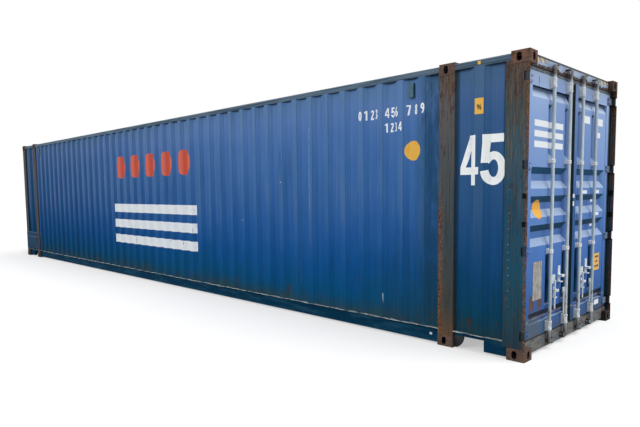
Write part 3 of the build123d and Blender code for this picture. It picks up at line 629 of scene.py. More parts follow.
def rusted_paint(name, stops, rust_from, rust_to, edge=None, inner=None):
    """Dark paint over steel posts, gone to rust in long vertical patches and along the edges.

    edge gives where an edge rusts brightly: its place, its width and the height it fades at.
    Faces nearer the middle line than inner stand in the dark beside the doors.
    """
    material, tree = new_material(name)
    vector, x, y, z = coordinates(tree)
    wash = cloudy(tree, vector, (0.1, 0.1, 0.5), 4.0)
    sound = tones(tree, drifted(tree, z, wash, 0.5), stops)
    washed = between(tree, streaks(tree, vector), 0.95, 0.65, 0.0, 0.45)
    sound = coat(tree, sound, "#171f23", washed)
    level = cloudy(tree, vector, (0.022, 0.022, 0.13), 7.0, 0.78)
    level = raised(tree, level, between(tree, z, 2.1, 2.7), 0.06)
    if edge is not None:
        place, width, top = edge
        rim = edge_mask(tree, x, place, width)
        rim = times(tree, rim, between(tree, z, top + 0.3, top - 0.3, 0.15, 1.0))
        level = raised(tree, level, rim, 0.13)
    rust = between(tree, level, rust_from, rust_to)
    columns = cloudy(tree, vector, (0.009, 0.009, 0.6), 5.0, 0.7)
    runs = times(tree, between(tree, columns, 0.50, 0.60), between(tree, z, 0.9, 2.3, 0.1, 0.8))
    sound = coat(tree, sound, "#6e5a40", runs)
    dark = cloudy(tree, vector, (0.012, 0.012, 0.8), 4.0, 0.7)
    sound = coat(tree, sound, "#1c2224", times(tree, between(tree, dark, 0.54, 0.64), 0.6))
    color = over(tree, sound, rust_colour(tree, vector), times(tree, rust, 0.9))
    if edge is not None:
        bright = cloudy(tree, vector, (0.014, 0.014, 0.020), 5.0, 0.75)
        bright = times(tree, rim, between(tree, bright, 0.44, 0.62), 0.8)
        color = coat(tree, color, "#95684a", bright)
    color = coat(tree, color, "#2b3033", between(tree, x, *FAR_END, 0.0, 0.55))
    chips = cloudy(tree, vector, (0.015, 0.015, 0.025), 3.0, 0.7)
    color = coat(tree, color, "#8d97a0", times(tree, between(tree, chips, 0.70, 0.76), 0.5))
    if inner is not None:
        faint = between(tree, chips, 0.40, 0.58, 0.1, 0.7)
        color = coat(tree, color, "#8b9b9e", times(tree, weld_dots(tree, x, z), faint))
        behind = between(tree, magnitude(tree, y), inner, inner - 2 * MM)
        color = coat(tree, color, "#060b0d", times(tree, behind, 0.94))
    rough = between(tree, rust, 0.0, 1.0, 0.6, 0.85)
    scale = cloudy(tree, vector, (0.012, 0.012, 0.02), 4.0, 0.7)
    finish_material(tree, color, rough, times(tree, scale, rust), 0.003, specular=0.08)
    return material


END_CASTING, MID_CASTING = 6.769, 6.007
CASTING_HEIGHTS = (0.059, 2.837)
CASTING_ACROSS = 1.138


def casting_rust():
    """Cast steel whose paint has almost gone: brown rust, grey remains, and black painted shade in
    the holes.

    Its pits are drawn 8 mm wide, coarser than a sand casting's grain, so that they show.
    """
    material, tree = new_material("rusted_cast_steel")
    vector, x, y, z = coordinates(tree)
    length = magnitude(tree, x)
    color = rust_colour(tree, vector)
    paint = cloudy(tree, vector, (0.07, 0.07, 0.05), 5.0, 0.7)
    color = coat(tree, color, "#5c6068", times(tree, between(tree, paint, 0.56, 0.68), 0.7))
    dark = cloudy(tree, vector, (0.03, 0.03, 0.03), 4.0, 0.7)
    color = coat(tree, color, "#2b211d", times(tree, between(tree, dark, 0.56, 0.7), 0.7))
    bare = cloudy(tree, vector, (0.05, 0.05, 0.04), 5.0, 0.7)
    color = coat(tree, color, "#7d5a48", between(tree, bare, 0.42, 0.62, 0.1, 0.6))
    low = between(tree, z, 0.4, 0.2, 0.0, 0.3)
    middle = between(tree, length, 6.3, 6.2, 0.0, 0.3)
    color = coat(tree, color, "#3f4140", either(tree, [low, middle]))
    color = coat(tree, color, "#262524", between(tree, x, *FAR_END, 0.0, 0.6))
    beyond = times(tree, between(tree, y, 0.9, 1.0), between(tree, x, 6.5, 6.6))
    shaded = times(tree, beyond, between(tree, z, 0.4, 0.2, 0.6, 0.88))
    color = coat(tree, color, "#12110f", shaded)
    # Painted shade: the faces inside the casting's holes are painted near-black
    places = (END_CASTING, MID_CASTING)
    along = either(tree, [near(tree, length, place, 0.083, 0.002) for place in places])
    upright = either(tree, [near(tree, z, place, 0.053, 0.002) for place in CASTING_HEIGHTS])
    across = near(tree, magnitude(tree, y), CASTING_ACROSS, 0.075, 0.002)
    color = coat(tree, color, "#090807", times(tree, along, upright, across, 0.95))
    pits = cloudy(tree, vector, (0.008, 0.008, 0.008), 4.0, 0.7)
    finish_material(tree, color, 0.8, pits, 0.004, specular=0.2)
    return material


def top_rail_paint():
    """Blue-grey paint on the top rails, pale on the upper edge, partly scraped and partly a painted
    highlight.
    """
    material, tree = new_material("scraped_blue_paint_rail")
    vector, x, _, z = coordinates(tree)
    streak = cloudy(tree, vector, (0.5, 0.5, 0.02), 4.0, 0.6)
    color = two_tone(tree, streak, "#2f4658", "#566c80", 0.35, 0.65)
    # The pale upper edge: partly scraped paint, partly painted highlight
    upper = times(tree, between(tree, z, 2.858, 2.874), between(tree, streak, 0.3, 0.6, 0.3, 0.7))
    color = coat(tree, color, "#76879a", upper)
    rust = rust_patches(tree, vector, (0.3, 0.1, 0.03), 0.60, 0.70)
    ends = edge_mask(tree, x, MID_CASTING, 0.24)
    brown = either(tree, [rust, times(tree, ends, 0.45)])
    color = over(tree, color, rust_colour(tree, vector), times(tree, brown, 0.8))
    relief = cloudy(tree, vector, (0.2, 0.2, 0.05), 2.0)
    finish_material(tree, color, 0.65, relief, 0.003, specular=0.2)
    return material


PALE_TAG = (5.798, 5.830, 0.084, 0.108)


def bottom_rail_paint():
    """Deep blue-green paint on the bottom rails, dusty, with rusted patches and a pale line along
    the lip that is partly rubbed paint and partly painted highlight.
    """
    material, tree = new_material("dusty_blue_paint_rail")
    vector, x, _, z = coordinates(tree)
    dust = cloudy(tree, vector, (0.35, 0.35, 0.06), 5.0, 0.6)
    color = two_tone(tree, dust, "#04304a", "#1c4860", 0.42, 0.74)
    # The lip's pale line: partly rubbed paint, partly painted highlight
    lip = between(tree, z, 0.170, 0.174)
    wear = cloudy(tree, vector, (0.12, 0.12, 0.05), 4.0, 0.7)
    color = coat(tree, color, "#8f989b", times(tree, lip, between(tree, wear, 0.38, 0.52)))
    color = rust_patched(tree, vector, color, (0.2, 0.2, 0.05), 0.62, 0.72)
    color = coat(tree, color, "#c8d0d4", box_mark(tree, x, z, PALE_TAG))
    finish_material(tree, color, 0.7, dust, 0.002, specular=0.03)
    return material


def underframe_paint():
    """Dark waxy underseal on channels and gussets, with road dust."""
    material, tree = new_material("underseal_on_steel")
    vector, *_ = coordinates(tree)
    dust = cloudy(tree, vector, (0.15, 0.15, 0.08), 5.0, 0.6)
    color = two_tone(tree, dust, "#12181c", "#2c3234", 0.4, 0.7)
    color = rust_patched(tree, vector, color, (0.1, 0.1, 0.06), 0.6, 0.7)
    finish_material(tree, color, 0.75, dust, 0.002, specular=0.25)
    return material


HAZARD_BANDS = ((-0.95, -0.72), (0.76, 1.04))
HAZARD_HEIGHTS = (2.832, 2.884)
HAZARD_PITCH = 0.055


def header_paint():
    """Chalked header with a rusted lower edge and slanted bands of faded yellow and grey."""
    material, tree = new_material("chalked_header_paint")
    vector, _, y, z = coordinates(tree)
    wash = cloudy(tree, vector, (0.3, 0.3, 0.1), 4.0)
    color = two_tone(tree, wash, "#7c90ae", "#98a9c2", 0.35, 0.65)
    slant = put(tree, "Math", {0: y, 1: z}, operation="ADD")
    turns = put(tree, "Math", {0: slant, 1: HAZARD_PITCH}, operation="PINGPONG")
    half = HAZARD_PITCH / 2
    stripe = between(tree, turns, half - PAINT_EDGE, half + PAINT_EDGE)
    tape = coat(tree, linear("#6d7f92"), "#d3b67c", stripe)
    bands = either(tree, [box_mark(tree, y, z, band + HAZARD_HEIGHTS) for band in HAZARD_BANDS])
    chips = between(tree, cloudy(tree, vector, (0.03, 0.03, 0.02), 4.0, 0.7), 0.36, 0.44)
    color = over(tree, color, tape, times(tree, bands, chips))
    color = coat(tree, color, "#141b22", between(tree, z, 2.866, 2.874, 0.0, 0.92))
    patch = cloudy(tree, vector, (0.08, 0.08, 0.04), 5.0, 0.68)
    level = raised(tree, patch, between(tree, z, 2.83, 2.785), 0.3)
    rust = between(tree, level, 0.62, 0.72)
    brown = coat(tree, rust_colour(tree, vector), "#2b2829", 0.55)
    color = over(tree, color, brown, rust)
    rough = between(tree, rust, 0.0, 1.0, 0.45, 0.8)
    finish_material(tree, color, rough, patch, 0.002, specular=0.2)
    return material


BAR_TONES = (
    (0.11, "#3a3530"),
    (0.18, "#8f9091"),
    (0.25, "#b9bfc2"),
    (0.90, "#c3d4da"),
    (2.00, "#ccdadf"),
    (2.72, "#c6cfd3"),
    (2.76, "#5f5853"),
)


def bar_zinc():
    """Hot-dip zinc on the locking bars and handles: pale grey, dull, brown at the cams."""
    material, tree = new_material("dull_galvanised_steel")
    vector, _, y, z = coordinates(tree)
    bloom = cloudy(tree, vector, (0.03, 0.03, 0.12), 4.0, 0.6)
    color = tones(tree, drifted(tree, z, bloom, 0.06), BAR_TONES)
    color = coat(tree, color, "#8fa3ad", between(tree, bloom, 0.62, 0.36, 0.0, 0.35))
    color = coat(tree, color, "#93a8b2", between(tree, y, 0.3, 0.55, 0.0, 0.5))
    grime = cloudy(tree, vector, (0.03, 0.03, 0.05), 5.0, 0.7)
    level = raised(tree, grime, between(tree, z, 0.9, 0.15), 0.12)
    color = coat(tree, color, "#4d4641", times(tree, between(tree, level, 0.64, 0.74), 0.8))
    finish_material(tree, color, 0.42, bloom, 0.0006, metallic=0.05, specular=0.5)
    return material


def fitting_zinc():
    """Bolted brackets and catches: zinc gone to a plain light grey, rusty in spots, the middle
    brackets paler still as painted light.
    """
    material, tree = new_material("weathered_zinc_fittings")
    vector, _, _, z = coordinates(tree)
    bloom = cloudy(tree, vector, (0.03, 0.03, 0.04), 4.0, 0.6)
    color = two_tone(tree, bloom, "#c2c8cc", "#e0e4e6", 0.35, 0.62)
    # Painted light: the middle brackets, shaded by the bars, are painted paler
    middle = either(tree, [near(tree, z, place, 0.045, 0.01) for place in MID_BRACKET_HEIGHTS])
    color = coat(tree, color, "#eef1f3", times(tree, middle, 0.8))
    color = rust_patched(tree, vector, color, (0.03, 0.03, 0.03), 0.66, 0.76, 0.7)
    finish_material(tree, color, 0.55, bloom, 0.001, specular=0.4)
    return material


def bolt_steel():
    """Bolt heads whose zinc has gone dark."""
    material, tree = new_material("dark_zinc_bolts")
    vector, *_ = coordinates(tree)
    spots = cloudy(tree, vector, (0.01, 0.01, 0.01), 4.0, 0.7)
    color = two_tone(tree, spots, "#b0b1b3", "#6a6058", 0.54, 0.70)
    finish_material(tree, color, 0.6, spots, 0.0005, metallic=0.2, specular=0.4)
    return material


def keeper_rust():
    """Forged keepers on the header and the sill, dark with old grease and rust."""
    material, tree = new_material("greasy_rusted_forging")
    vector, *_ = coordinates(tree)
    patch = cloudy(tree, vector, (0.03, 0.03, 0.03), 5.0, 0.68)
    share = between(tree, patch, 0.42, 0.62, 0.1, 0.75)
    color = over(tree, linear("#24211f"), rust_colour(tree, vector), share)
    color = coat(tree, color, "#8c8f92", times(tree, between(tree, patch, 0.64, 0.72), 0.6))
    finish_material(tree, color, 0.6, patch, 0.002, specular=0.3)
    return material


def blade_paint():
    """Hinge straps: leaf paint on the part over the stile, near-black painted shade where they pass
    into the post.
    """
    material, tree = new_material("painted_hinge_steel_shaded_in_post")
    vector, _, y, z = coordinates(tree)
    bloom = cloudy(tree, vector, (0.03, 0.03, 0.04), 4.0, 0.6)
    color = two_tone(tree, bloom, "#4c5f78", "#6b7f98", 0.35, 0.62)
    color = over(tree, color, tones(tree, z, LEAF_TONES_WITH_LIGHT), between(tree, y, 0.1, -0.1))
    # Painted shade: near-black where the straps pass into the post's notches
    post_notch_shade = between(tree, magnitude(tree, y), 1.125, 1.165)
    color = coat(tree, color, "#0c1013", times(tree, post_notch_shade, 0.95))
    color = rust_patched(tree, vector, color, (0.03, 0.03, 0.03), 0.58, 0.68, 0.8)
    finish_material(tree, color, 0.6, bloom, 0.001, specular=0.3)
    return material


HINGE_SEAL_TONES = (
    (0.2, "#50565a"),
    (0.4, "#44525b"),
    (1.4, "#435a69"),
    (2.2, "#54697c"),
    (2.7, "#7d868e"),
)


def seal_rubber():
    """EPDM door seal: black rubber, with stray paint and dust at the hinge side and the ends."""
    material, tree = new_material("dusty_epdm_rubber")
    vector, _, y, z = coordinates(tree)
    dust = cloudy(tree, vector, (0.06, 0.06, 0.2), 4.0, 0.6)
    color = two_tone(tree, dust, "#070b0d", "#121c20", 0.4, 0.7)
    sides = between(tree, magnitude(tree, y), 1.08, 1.11)
    ends = either(tree, [between(tree, z, 2.731, 2.736), between(tree, z, 0.183, 0.178)])
    sprayed = times(tree, either(tree, [sides, ends]), between(tree, dust, 0.3, 0.6, 0.6, 0.95))
    color = over(tree, color, tones(tree, z, HINGE_SEAL_TONES), sprayed)
    finish_material(tree, color, 0.75, dust, 0.001, specular=0.2)
    return material


def vent_plastic():
    """Moulded plastic vent cover painted over in a greener blue."""
    material, tree = new_material("painted_over_plastic")
    vector, *_ = coordinates(tree)
    bloom = cloudy(tree, vector, (0.03, 0.03, 0.05), 4.0)
    color = two_tone(tree, bloom, "#134153", "#205666", 0.35, 0.65)
    finish_material(tree, color, 0.5, bloom, 0.0005)
    return material


def plywood():
    """Phenolic-faced plywood floor sheets, 1.2 m wide, scuffed by forklift wheels.

    The veneer's grain is drawn 12 mm wide, coarser than its real lines, so that it shows.
    """
    material, tree = new_material("scuffed_plywood")
    vector, x, _, _ = coordinates(tree)
    grain = cloudy(tree, vector, (0.4, 0.012, 0.1), 6.0, 0.6)
    color = two_tone(tree, grain, "#6b4a33", "#9b7350", 0.35, 0.65)
    wheel = cloudy(tree, vector, (1.5, 0.12, 1.0), 3.0)
    color = coat(tree, color, "#40352c", between(tree, wheel, 0.5, 0.7, 0.0, 0.7))
    board = put(tree, "Math", {0: x, 1: 0.6}, operation="PINGPONG")
    joint = between(tree, board, 0.004, 0.001)
    color = coat(tree, color, "#191410", joint)
    relief = put(tree, "Math", {0: grain, 1: joint}, operation="SUBTRACT")
    finish_material(tree, color, 0.65, relief, 0.0008, specular=0.3)
    return material


def stained_plate():
    """Bare stainless data plate, weathered to a buff stain."""
    material, tree = new_material("stained_plate")
    vector, _, _, z = coordinates(tree)
    stain = cloudy(tree, vector, (0.05, 0.05, 0.07), 5.0, 0.65)
    color = two_tone(tree, stain, "#77787a", "#a39f95", 0.35, 0.62)
    rust = rust_patches(tree, vector, (0.06, 0.06, 0.06), 0.6, 0.7)
    color = coat(tree, color, "#7a553f", rust)
    rows = put(tree, "Math", {0: z, 1: 0.02}, operation="PINGPONG")
    finish_material(tree, color, 0.5, between(tree, rows, 0.002, 0.004), 0.0004, metallic=0.3)
    return material


def mark_vinyl(name, code, wear):
    """Vinyl film or marking paint, slightly chalked and chipped at random."""
    material, tree = new_material(name)
    vector, *_ = coordinates(tree)
    chalk = cloudy(tree, vector, (0.08, 0.08, 0.12), 4.0)
    color = coat(tree, linear(code), wear, between(tree, chalk, 0.45, 0.8, 0.0, 0.35))
    finish_material(tree, color, 0.5, chalk, 0.0003, specular=0.35)
    return material


def worn_and_highlit_lip():
    """The rail's lip: pale scraped primer with grey steel where the paint is rubbed off, the
    paleness partly a painted highlight.
    """
    material, tree = new_material("scraped_primer_lip_highlit")
    vector, *_ = coordinates(tree)
    wear = cloudy(tree, vector, (0.10, 0.10, 0.02), 5.0, 0.7)
    color = two_tone(tree, wear, "#475762", "#b9bdbb", 0.40, 0.60)
    color = rust_patched(tree, vector, color, (0.06, 0.06, 0.02), 0.58, 0.68)
    finish_material(tree, color, 0.6, wear, 0.001, specular=0.35)
    return material


def repair_paint():
    """Darker, newer blue paint on the flat repair plates at the front end."""
    material, tree = new_material("newer_blue_paint")
    vector, _, _, z = coordinates(tree)
    wash = cloudy(tree, vector, (0.5, 0.5, 0.2), 4.0)
    color = two_tone(tree, wash, "#022742", "#0a3452", 0.35, 0.65)
    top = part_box("front_bay_plates")[1][2]
    folds = either(tree, [near(tree, z, top - place, 0.007, 0.003) for place in (0.016, 0.13)])
    color = coat(tree, color, "#5c7386", times(tree, folds, 0.6))
    color = over(tree, color, rust_colour(tree, vector), rust_spots(tree, vector, z, 0.04))
    finish_material(tree, color, 0.6, wash, 0.003, specular=0.05)
    return material


def sill_paint():
    """Door sill: dark paint scraped by pallets and hooks."""
    material, tree = new_material("scraped_sill_paint")
    vector, *_ = coordinates(tree)
    scrape = cloudy(tree, vector, (0.05, 0.14, 0.03), 5.0, 0.68)
    color = two_tone(tree, scrape, "#43525e", "#706b64", 0.4, 0.62)
    color = rust_patched(tree, vector, color, (0.06, 0.06, 0.04), 0.5, 0.62)
    finish_material(tree, color, 0.65, scrape, 0.002, specular=0.3)
    return material


def roof_paint():
    """Roof sheet: the same blue, chalked pale and rain-marked."""
    material, tree = new_material("chalked_roof_paint")
    vector, _, _, z = coordinates(tree)
    wash = cloudy(tree, vector, (0.9, 0.5, 0.5), 5.0, 0.6)
    color = two_tone(tree, wash, "#2c5486", "#5f7fa8", 0.35, 0.65)
    pools = times(tree, between(tree, z, 2.870, 2.858), between(tree, wash, 0.4, 0.6, 0.2, 0.8))
    color = coat(tree, color, "#3d4d57", pools)
    color = rust_patched(tree, vector, color, (0.15, 0.15, 0.1), 0.62, 0.72)
    finish_material(tree, color, 0.65, wash, 0.003, specular=0.3)
    return material


# Shapes

def quads(rows, columns, closed_rows=False, closed_columns=False):
    """Faces of a grid of rows by columns, wrapped round where it is closed."""
    r = np.arange(rows if closed_rows else rows - 1)
    c = np.arange(columns if closed_columns else columns - 1)
    r, c = (a.ravel() for a in np.meshgrid(r, c, indexing="ij"))
    r1, c1 = (r + 1) % rows, (c + 1) % columns
    return np.stack([r * columns + c, r * columns + c1, r1 * columns + c1, r1 * columns + c], 1)


def make_piece(name, points, faces, body, material, smooth=False):
    """Mesh object at the origin from numpy arrays, riding on a body."""
    mesh = bpy.data.meshes.new(name)
    mesh.from_pydata(np.asarray(points, float).tolist(), [], [list(map(int, f)) for f in faces])
    mesh.validate()
    if smooth:
        mesh.polygons.foreach_set("use_smooth", np.ones(len(mesh.polygons), bool))
    mesh.materials.append(material)
    piece = bpy.data.objects.new(name, mesh)
    bpy.context.scene.collection.objects.link(piece)
    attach(piece, body)
    return piece


def copies(points, faces, offsets):
    """One small shape repeated at every offset, as one mesh."""
    points, offsets = np.asarray(points), np.asarray(offsets)
    all_points = (points[None] + offsets[:, None]).reshape(-1, 3)
    steps = np.arange(len(offsets)) * len(points)
    all_faces = [tuple(np.asarray(f) + s) for s in steps for f in faces]
    return all_points, all_faces


def turned_head(profile, sides):
    """Closed head turned about X: a profile of radius and height, carried round the axis."""
    radius, height = np.array(profile).T
    angle = np.arange(sides) * 2 * math.pi / sides
    ring = np.stack(
        [
            np.repeat(height[:, None], sides, 1),
            radius[:, None] * np.cos(angle),
            radius[:, None] * np.sin(angle),
        ],
        2,
    )
    faces = [tuple(f) for f in quads(len(profile), sides, closed_columns=True)]
    last = (len(profile) - 1) * sides
    faces.append(tuple(range(sides))[::-1])
    faces.append(tuple(range(last, last + sides)))
    return ring.reshape(-1, 3), faces


def clamp_band(inner, outer, tall):
    """Closed ring about Z: a rectangle of radius and height carried round the axis."""
    angle = np.arange(40) * math.pi / 20
    half = tall / 2
    profile = np.array([(outer, half), (outer, -half), (inner, -half), (inner, half)])
    ring = np.stack(
        [
            profile[:, 0] * np.cos(angle)[:, None],
            profile[:, 0] * np.sin(angle)[:, None],
            np.repeat(profile[None, :, 1], len(angle), 0),
        ],
        2,
    )
    faces = quads(len(angle), 4, closed_rows=True, closed_columns=True)
    return ring.reshape(-1, 3), [tuple(face) for face in faces]


def box_shape(low, high):
    """Closed box between two corners."""
    xs, ys, zs = zip(low, high)
    points = [(x, y, z) for x in xs for y in ys for z in zs]
    faces = [(0, 1, 3, 2), (4, 6, 7, 5), (0, 4, 5, 1), (2, 3, 7, 6), (0, 2, 6, 4), (1, 5, 7, 3)]
    return np.array(points), faces


HEX_BOLT = ((11 * MM, 0.0), (11 * MM, 6.0 * MM), (9.5 * MM, 7.5 * MM))
SMALL_BOLT = ((7 * MM, 0.0), (7 * MM, 4.5 * MM), (6 * MM, 5.5 * MM))
ROUND_RIVET = ((4.5 * MM, 0.0), (4.2 * MM, 1.2 * MM), (2.5 * MM, 2.4 * MM), (0.8 * MM, 2.8 * MM))


def wall_y(x):
    """How far out the long wall's surface lies: a trapezoid wave along the length."""
    phase = np.mod(WALL_END - WALL_FIRST_FLAT - x, WALL_PITCH)
    rise = np.clip(phase / WALL_SLOPE, 0, 1)
    fall = np.clip((2 * WALL_SLOPE + WALL_OUTER_FLAT - phase) / WALL_SLOPE, 0, 1)
    wave = np.where(WALL_END - x < WALL_FIRST_FLAT, 0.0, np.minimum(rise, fall))
    return WALL_INNER + WALL_DEPTH * wave


def plate_y(x):
    """The flat front of the small height plate."""
    return np.full_like(x, SIDE_FACE + 1.6 * MM)


def bay_y(x):
    """How far out a bay's panel lies: one trapezoid rib in its middle."""
    away = np.abs(x - (BAY_START + BAY_END) / 2)
    rise = np.clip((BAY_RIB / 2 + WALL_SLOPE - away) / WALL_SLOPE, 0, 1)
    return WALL_INNER + WALL_DEPTH * rise


THICK = 0.157
GRID_STEP = 3.5 * MM
NUMERALS = {
    "0": (0.42, [("ring", (0.21, 0.5), (0.21, 0.5), 0, 360)]),
    "1": (
        0.30,
        [
            ("patch", (0.14, 0), (0.30, 0), (0.30, 1), (0.14, 1)),
            ("patch", (0, 0.72), (0.14, 0.80), (0.14, 1), (0, 0.88)),
        ],
    ),
    "2": (
        0.42,
        [
            ("ring", (0.21, 0.76), (0.21, 0.24), -40, 170),
            ("patch", (0, 0.15), (0.20, 0.15), (0.371, 0.606), (0.25, 0.706)),
            ("patch", (0, 0), (0.42, 0), (0.42, 0.15), (0, 0.15)),
        ],
    ),
    "3": (
        0.42,
        [
            ("ring", (0.2, 0.74), (0.2, 0.26), -90, 150),
            ("ring", (0.21, 0.27), (0.21, 0.27), -150, 90),
        ],
    ),
    "4": (
        0.4376,
        [
            ("patch", (0.264, 0), (0.368, 0), (0.368, 0.693), (0.264, 0.693)),
            ("patch", (0.264, 0.693), (0.368, 0.693), (0.368, 1), (0.223, 1)),
            ("patch", (0, 0.216), (0.264, 0.216), (0.264, 0.363), (0, 0.363)),
            ("patch", (0.368, 0.216), (0.4376, 0.216), (0.4376, 0.363), (0.368, 0.363)),
            ("patch", (0, 0.363), (0.123, 0.363), (0.264, 0.693), (0.223, 1)),
        ],
    ),
    "5": (
        0.513,
        [
            ("patch", (0.053, 0.837), (0.466, 0.837), (0.466, 1), (0.053, 1)),
            ("patch", (0.022, 0.44), (0.16, 0.44), (0.20, 0.837), (0.053, 0.837)),
            ("ring", (0.26, 0.33), (0.253, 0.33), -170, 148),
        ],
    ),
    "6": (
        0.42,
        [
            ("ring", (0.21, 0.29), (0.21, 0.29), 0, 360),
            ("ring", (0.30, 0.42), (0.30, 0.58), 95, 180),
        ],
    ),
    "7": (
        0.42,
        [
            ("patch", (0, 0.85), (0.42, 0.85), (0.42, 1), (0, 1)),
            ("patch", (0.08, 0), (0.25, 0), (0.42, 0.85), (0.26, 0.85)),
        ],
    ),
    "8": (
        0.42,
        [
            ("ring", (0.21, 0.75), (0.19, 0.25), 0, 360),
            ("ring", (0.21, 0.27), (0.21, 0.27), 0, 360),
        ],
    ),
    "9": (
        0.42,
        [
            ("ring", (0.21, 0.71), (0.21, 0.29), 0, 360),
            ("ring", (0.12, 0.58), (0.30, 0.58), -85, 0),
        ],
    ),
}


def even(low, high, length):
    """Shares from low to high with a step that keeps close to a folded wall."""
    return np.linspace(low, high, max(3, int(length / GRID_STEP) + 2))


def numeral_grid(shape, height):
    """One part of a numeral, and whether its rows close up.

    A patch is bilinear between its corners. A ring is the band between an ellipse and the one
    inside it.
    """
    kind, *data = shape
    if kind == "patch":
        corners = np.asarray(data, float) * height
        spans = np.ptp(corners, axis=0)
        u, v = np.meshgrid(even(0, 1, spans[0]), even(0, 1, spans[1]))
        weights = np.stack([(1 - u) * (1 - v), u * (1 - v), u * v, (1 - u) * v], -1)
        return weights @ corners, False
    centre, radii, start, end = data
    whole = end - start == 360
    angle = np.radians(even(start, end, math.radians(end - start) * max(radii) * height))
    if whole:
        angle = angle[:-1]
    inward = even(THICK, 0, THICK * height)
    inward, angle = np.meshgrid(inward, angle)
    across = centre[0] + (radii[0] - inward) * np.cos(angle)
    upright = centre[1] + (radii[1] - inward) * np.sin(angle)
    return np.stack([across, upright], -1) * height, whole


def number_piece(name, digits, place, span, height, surface, side, material):
    """Block numerals on a wavy wall, each point as far out as the wall's formula says."""
    wides = [NUMERALS[digit][0] * height for digit in digits]
    pitch = (span - wides[-1]) / max(1, len(digits) - 1)
    points, faces, count, laid = [], [], 0, 0
    for i, digit in enumerate(digits):
        for shape in NUMERALS[digit][1]:
            grid, whole = numeral_grid(shape, height)
            rows, columns = grid.shape[:2]
            reach = i * pitch + grid[..., 0]
            x = place[0] + (reach if side < 0 else span - reach)
            y = side * (surface(x) + (0.6 + 0.2 * laid) * MM)
            points.append(np.stack([x, y, place[1] + grid[..., 1]], 2).reshape(-1, 3))
            faces.append(quads(rows, columns, closed_rows=whole) + count)
            count += rows * columns
            laid = (laid + 1) % 6
    return make_piece(name, np.concatenate(points), np.concatenate(faces), "container", material)


def disc_piece(name, centre, radius, surface, side, material):
    """Round mark on a wavy wall: a polar grid, each point as far out as the wall's formula says."""
    rows, columns = 180, 34
    angle = np.arange(rows) * 2 * math.pi / rows
    angle, share = np.meshgrid(angle, np.linspace(0.02, 1, columns), indexing="ij")
    x = centre[0] + radius * share * np.cos(angle)
    z = centre[1] + radius * share * np.sin(angle)
    points = np.stack([x, side * (surface(x) + 0.6 * MM), z], 2).reshape(-1, 3)
    faces = [tuple(face) for face in quads(rows, columns, closed_rows=True)]
    faces.append(tuple(range(0, rows * columns, columns)))
    if side > 0:
        faces = [face[::-1] for face in faces]
    return make_piece(name, points, faces, "container", material)


def plate_piece(name, corners, normal, thick, body, material):
    """Thin closed plate on four or more corners, carried out along a normal."""
    corners = np.asarray(corners, float)
    count = len(corners)
    points = np.concatenate([corners, corners + np.asarray(normal) * thick])
    faces = [tuple(range(count))[::-1], tuple(range(count, 2 * count))]
    faces += [(i, (i + 1) % count, count + (i + 1) % count, count + i) for i in range(count)]
    return make_piece(name, points, faces, body, material)


def lip_piece(name, side, x0, x1, material):
    """Rail lip bent by handling: a thin strip whose height and reach wander along the wall."""
    count = 900
    x = np.linspace(x0, x1, count)
    wave = 2.2 * MM * np.sin(x * 7.3) * np.sin(x * 1.9 + 1) + 1.2 * MM * np.sin(x * 23 + 2)
    reach = 1.0 * MM * np.sin(x * 11.1) + 2.4 * MM
    low, high = 169 * MM + wave, 177.5 * MM + wave
    inner = np.full(count, SIDE_FACE - 3 * MM)
    outer = SIDE_FACE + reach
    ring = np.stack(
        [
            np.stack([x, side * inner, low], 1),
            np.stack([x, side * outer, low + 1 * MM], 1),
            np.stack([x, side * outer, high - 1 * MM], 1),
            np.stack([x, side * inner, high], 1),
        ],
        1,
    )
    faces = [tuple(f) for f in quads(count, 4, closed_columns=True)]
    faces += [(3, 2, 1, 0), tuple(range(4 * count - 4, 4 * count))]
    if side > 0:
        faces = [f[::-1] for f in faces]
    points = ring.reshape(-1, 3)
    return make_piece(name, points, faces, "container", material)


def seal_lips(name, leaf, side, material):
    """Two raised rubber ribs round the seal: a half round carried round the leaf's rectangle."""
    low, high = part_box(f"{leaf}_seal")
    front = high[0]
    y0, y1 = sorted((abs(low[1]), abs(high[1])))
    inset = 9 * MM
    rings = []
    angle = np.linspace(0, math.pi, 7)
    for rib in (0.0, 13 * MM):
        centre = np.array(
            [
                [y0 + inset + rib, low[2] + inset],
                [y1 - inset - rib, low[2] + inset],
                [y1 - inset - rib, high[2] - inset - rib],
                [y0 + inset + rib, high[2] - inset - rib],
            ]
        )
        outward = np.sign(centre - centre.mean(0))
        offset = 4 * MM * np.cos(angle)
        rise = 5 * MM * np.sin(angle)
        yz = centre[:, None] + outward[:, None] * offset[None, :, None]
        x = np.repeat(rise[None], 4, 0) + front
        rings.append(np.stack([x, side * yz[..., 0], yz[..., 1]], 2))
    points, faces = [], []
    for i, ring in enumerate(rings):
        block = quads(4, len(angle), closed_rows=True) + i * ring.shape[0] * ring.shape[1]
        faces += [tuple(f) for f in (block if side > 0 else block[:, ::-1])]
        points.append(ring.reshape(-1, 3))
    return make_piece(name, np.concatenate(points), faces, leaf, material)


# Dressing

